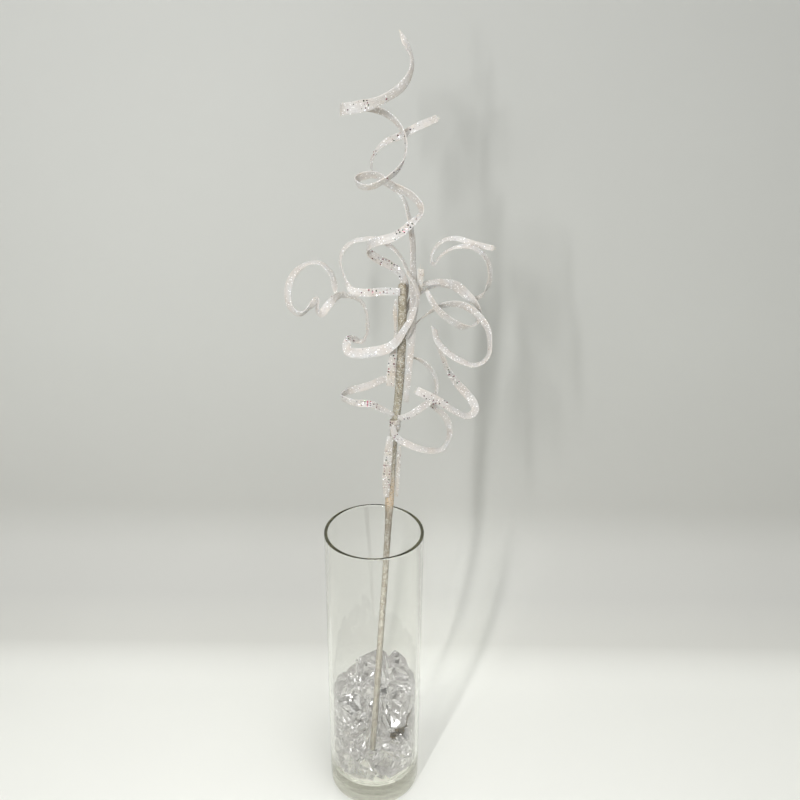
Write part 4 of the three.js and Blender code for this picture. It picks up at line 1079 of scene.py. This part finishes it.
# %% Finish: frayed fibre
fray, tree, shader = new_material("frayed_fibre", Roughness=0.6)
blend = add_ramp(tree, add_noise(tree, spots_of(tree), 300.0), [
    (0.35, (0.52, 0.45, 0.35)), (0.6, (0.68, 0.65, 0.59))])
tree.links.new(blend, shader.inputs["Base Color"])
print("finish:", fray.name)

# %% Model one fibre
bpy.ops.mesh.primitive_cone_add(vertices=5, radius1=0.5, radius2=0.12, depth=1)
fibre = bpy.context.object
edit(fibre)
for height in (-0.25, 0, 0.25):
    take_all()
    bpy.ops.mesh.bisect(plane_co=(0, 0, height), plane_no=(0, 0, 1))
leave_edit()
fibre_points, fibre_faces = take_apart(fibre)
print("one fibre has", len(fibre_faces), "faces")

# %% Bend one fibre
FIBRE_WIDTHS = (0.25, 0.45)
points, faces = [], []


def sprout(root, way, spread, lengths_mm):
    """Adds one bent fibre that leaves root roughly along way."""
    way = (Vector(way).normalized() + Vector([draw.gauss(0, spread) for _ in range(3)]))
    way.normalize()
    length = draw.uniform(*lengths_mm) * MM
    thick = draw.uniform(*FIBRE_WIDTHS) * MM
    turned = way.to_track_quat("Z", "Y").to_matrix()
    curl = turned @ Vector((draw.gauss(0, 0.2), draw.gauss(0, 0.2), 0))
    start = len(points)
    for point in fibre_points:
        share = point.z + 0.5
        points.append(root + way * length * share + curl * length * share ** 2
                      + turned @ Vector((point.x, point.y, 0)) * thick)
    faces.extend(tuple(start + i for i in face) for face in fibre_faces)


# %% Set the fibres
UPWARDS = (0, 0, 1)
ON_SPUR, ON_TOP, ON_END, ON_LAID, ON_COIL = 30, 16, 6, 18, 10
for _ in range(ON_SPUR):
    sprout(scattered("frayed_spur", draw.uniform(0, 2))[0], UPWARDS, 0.22, (3, 7))
top, top_radius = STATIONS[-1]
for _ in range(ON_TOP):
    angle, reach = draw.uniform(0, 2 * math.pi), draw.uniform(0, top_radius - 0.3)
    root = Vector(top) + Vector((reach * math.cos(angle), reach * math.sin(angle), -0.4))
    sprout(root * MM, UPWARDS, 0.3, (1.5, 3.5))
for name in CURLS:
    strip = STRIPS[name]
    for _ in range(ON_END):
        root, _ = on_strip(
            name, len(strip["knots"]) - 1, draw.uniform(-0.7, 0.7), draw.choice((-0.4, 0.4)))
        sprout(root, strip["places"][-1] - strip["places"][-2], 0.2, (1, 2.6))
for name in LAID:
    for _ in range(ON_LAID):
        side = draw.choice((-1.05, 1.05))
        root, _ = on_strip(name, draw.uniform(0, len(STRIPS[name]["knots"]) - 1), side, 0.3)
        sprout(root, (side * 0.5, -0.2, draw.choice((-1, 1))), 0.2, (1.5, 4))
for _ in range(ON_COIL):
    root, facing = on_strip("left_coil", draw.gauss(13, 0.4), draw.uniform(-1, 1), 1)
    sprout(root, facing, 0.6, (1.5, 3.5))
sprout(on_strip("right_long_spiral", 18.5, 1, 1)[0], (0.7, 0, 0.7), 0.05, (5, 6))
sprout(on_strip("right_coil", 4.5, 1, 1)[0], UPWARDS, 0.05, (5, 6))
mesh = bpy.data.meshes.new("fibres")
mesh.from_pydata(points, [], faces)
hand_over(add_piece("fibres", mesh), "frayed_fibres", fray, None)

# %% Press in the bud scars
SCAR_RADIUS, SCAR_SHAPE = 0.9, (1, 0.75, 0.4)
scars = []
for name, knot in (("second_curl", 10.5), ("right_long_spiral", 19.2)):
    where, facing = on_strip(name, knot, 0.2, 1)
    bpy.ops.mesh.primitive_uv_sphere_add(segments=16, ring_count=8, radius=SCAR_RADIUS * MM)
    scar = bpy.context.object
    scar.scale = SCAR_SHAPE
    scar.rotation_euler = facing.to_track_quat("Z", "Y").to_euler()
    scar.location = where
    apply_all(scar)
    scars.append(scar)
only(scars[0])
scars[1].select_set(True)
bpy.ops.object.join()
bpy.ops.object.shade_smooth()
hand_over(scars[0], "bud_scars", dry, None)

# %% [markdown]
# ## Paper and light
# The paper is matt and faintly uneven. Its colour carries painted shade by height: lightest
# on the floor, then darker through the bend and greyer up the wall, where less light falls.
# A wide soft light overhead makes the floor bright. A tall narrow lamp beside the camera throws
# the faint shadows to the right, which are blurred upwards but not sideways, and a fainter one
# further left adds a second shadow.
# The room round the sheet is patchy, dark in places and bright in others, which is what gives
# clear things their sparkle. Looked at directly, past the edge of the sheet, it is an even grey.
# Light has to be followed through very many surfaces, because in the glass and the heap of chunks
# it turns many times before it comes out, and where it is given up the picture goes black.

# %% Finish: paper
PAPER_TOP = 0.8
# Painted shade: the paper's colour by height, light on the floor and greyer up the wall.
PAINTED_SHADE_BY_HEIGHT = [
    (0.0, (0.84, 0.845, 0.805)), (0.0025, (0.81, 0.815, 0.775)), (0.02, (0.62, 0.62, 0.585)),
    (0.065, (0.57, 0.57, 0.545)), (0.13, (0.59, 0.59, 0.565)), (0.215, (0.56, 0.56, 0.535)),
    (0.5, (0.555, 0.56, 0.535)), (0.9, (0.49, 0.495, 0.475)),
]


def paper_finish(name, see_through_back):
    material, tree, shader = new_material(name, Roughness=0.9)
    shader.inputs["Specular IOR Level"].default_value = 0.15
    spots = spots_of(tree)
    height = add_node(tree, "SeparateXYZ", {0: spots}).outputs["Z"]
    share = add_node(tree, "MapRange", {"Value": height, "From Max": PAPER_TOP}).outputs[0]
    # The ramp paints the shade by height; the noise only makes it faintly uneven.
    tone = add_ramp(tree, share, PAINTED_SHADE_BY_HEIGHT)
    uneven = add_ramp(tree, add_noise(tree, spots, 3.0, 3.0), [(0.3, (0.975,)), (0.7, (1.0,))])
    colour = mix_colour(tree, 1.0, tone, uneven, "MULTIPLY")
    tree.links.new(colour, shader.inputs["Base Color"])
    if see_through_back:
        back = add_node(tree, "NewGeometry").outputs["Backfacing"]
        clear = add_node(tree, "BsdfTransparent")
        mix_surfaces(tree, back, shader.outputs[0], clear.outputs[0])
    return material


for paper, name in ((sheet, "paper"), (back_floor, "paper_behind")):
    paper.data.materials.append(paper_finish(name, see_through_back=paper is sheet))
    print("finish:", name)

# %% Lamps
BRANCH_FOOT, WALL_MIDDLE = (0.1, -0.25, 0), (0.05, 0.1, 0.35)
LAMPS = [
    ("overhead", (0.5, -0.7, 2.1), BRANCH_FOOT, 1.6, 1.6, 20.5),
    ("beside_camera", (-0.28, -0.71, 0.80), WALL_MIDDLE, 0.035, 0.3, 4.7),
    ("further_left", (-0.45, -0.72, 0.84), WALL_MIDDLE, 0.08, 0.3, 0.9),
]
for name, place, aim, width, height, watts in LAMPS:
    bpy.ops.object.light_add(type="AREA", location=place)
    lamp = bpy.context.object
    lamp.name = name
    lamp.data.shape = "ELLIPSE"
    lamp.data.size = width
    lamp.data.size_y = height
    lamp.data.energy = watts
    way = Vector(aim) - Vector(place)
    lamp.rotation_euler = way.to_track_quat("-Z", "Y").to_euler()
    print(name, "gives", watts, "watts")

# %% Light of the room
world = bpy.data.worlds.new("room_light")
world.use_nodes = True
bpy.context.scene.world = world
room = world.node_tree
around = add_noise(room, spots_of(room, "Generated"), 3.0, 1.0)
patchy = add_ramp(room, around, [(0.47, (0.08, 0.08, 0.078)), (0.6, (0.82, 0.82, 0.80))])
seen = add_node(room, "LightPath").outputs["Is Camera Ray"]
backdrop_tone = mix_colour(room, seen, patchy, (0.56, 0.56, 0.545))
room.links.new(backdrop_tone, room.nodes["Background"].inputs["Color"])
print("world:", world.name)

# %% How light is traced
MANY_BOUNCES = 200
scene = bpy.context.scene
scene.view_settings.view_transform = "Standard"
scene.cycles.max_bounces = MANY_BOUNCES
scene.cycles.transmission_bounces = MANY_BOUNCES
scene.cycles.glossy_bounces = MANY_BOUNCES
scene.cycles.transparent_max_bounces = 64
scene.cycles.diffuse_bounces = 4
print("light is followed through", MANY_BOUNCES, "surfaces")
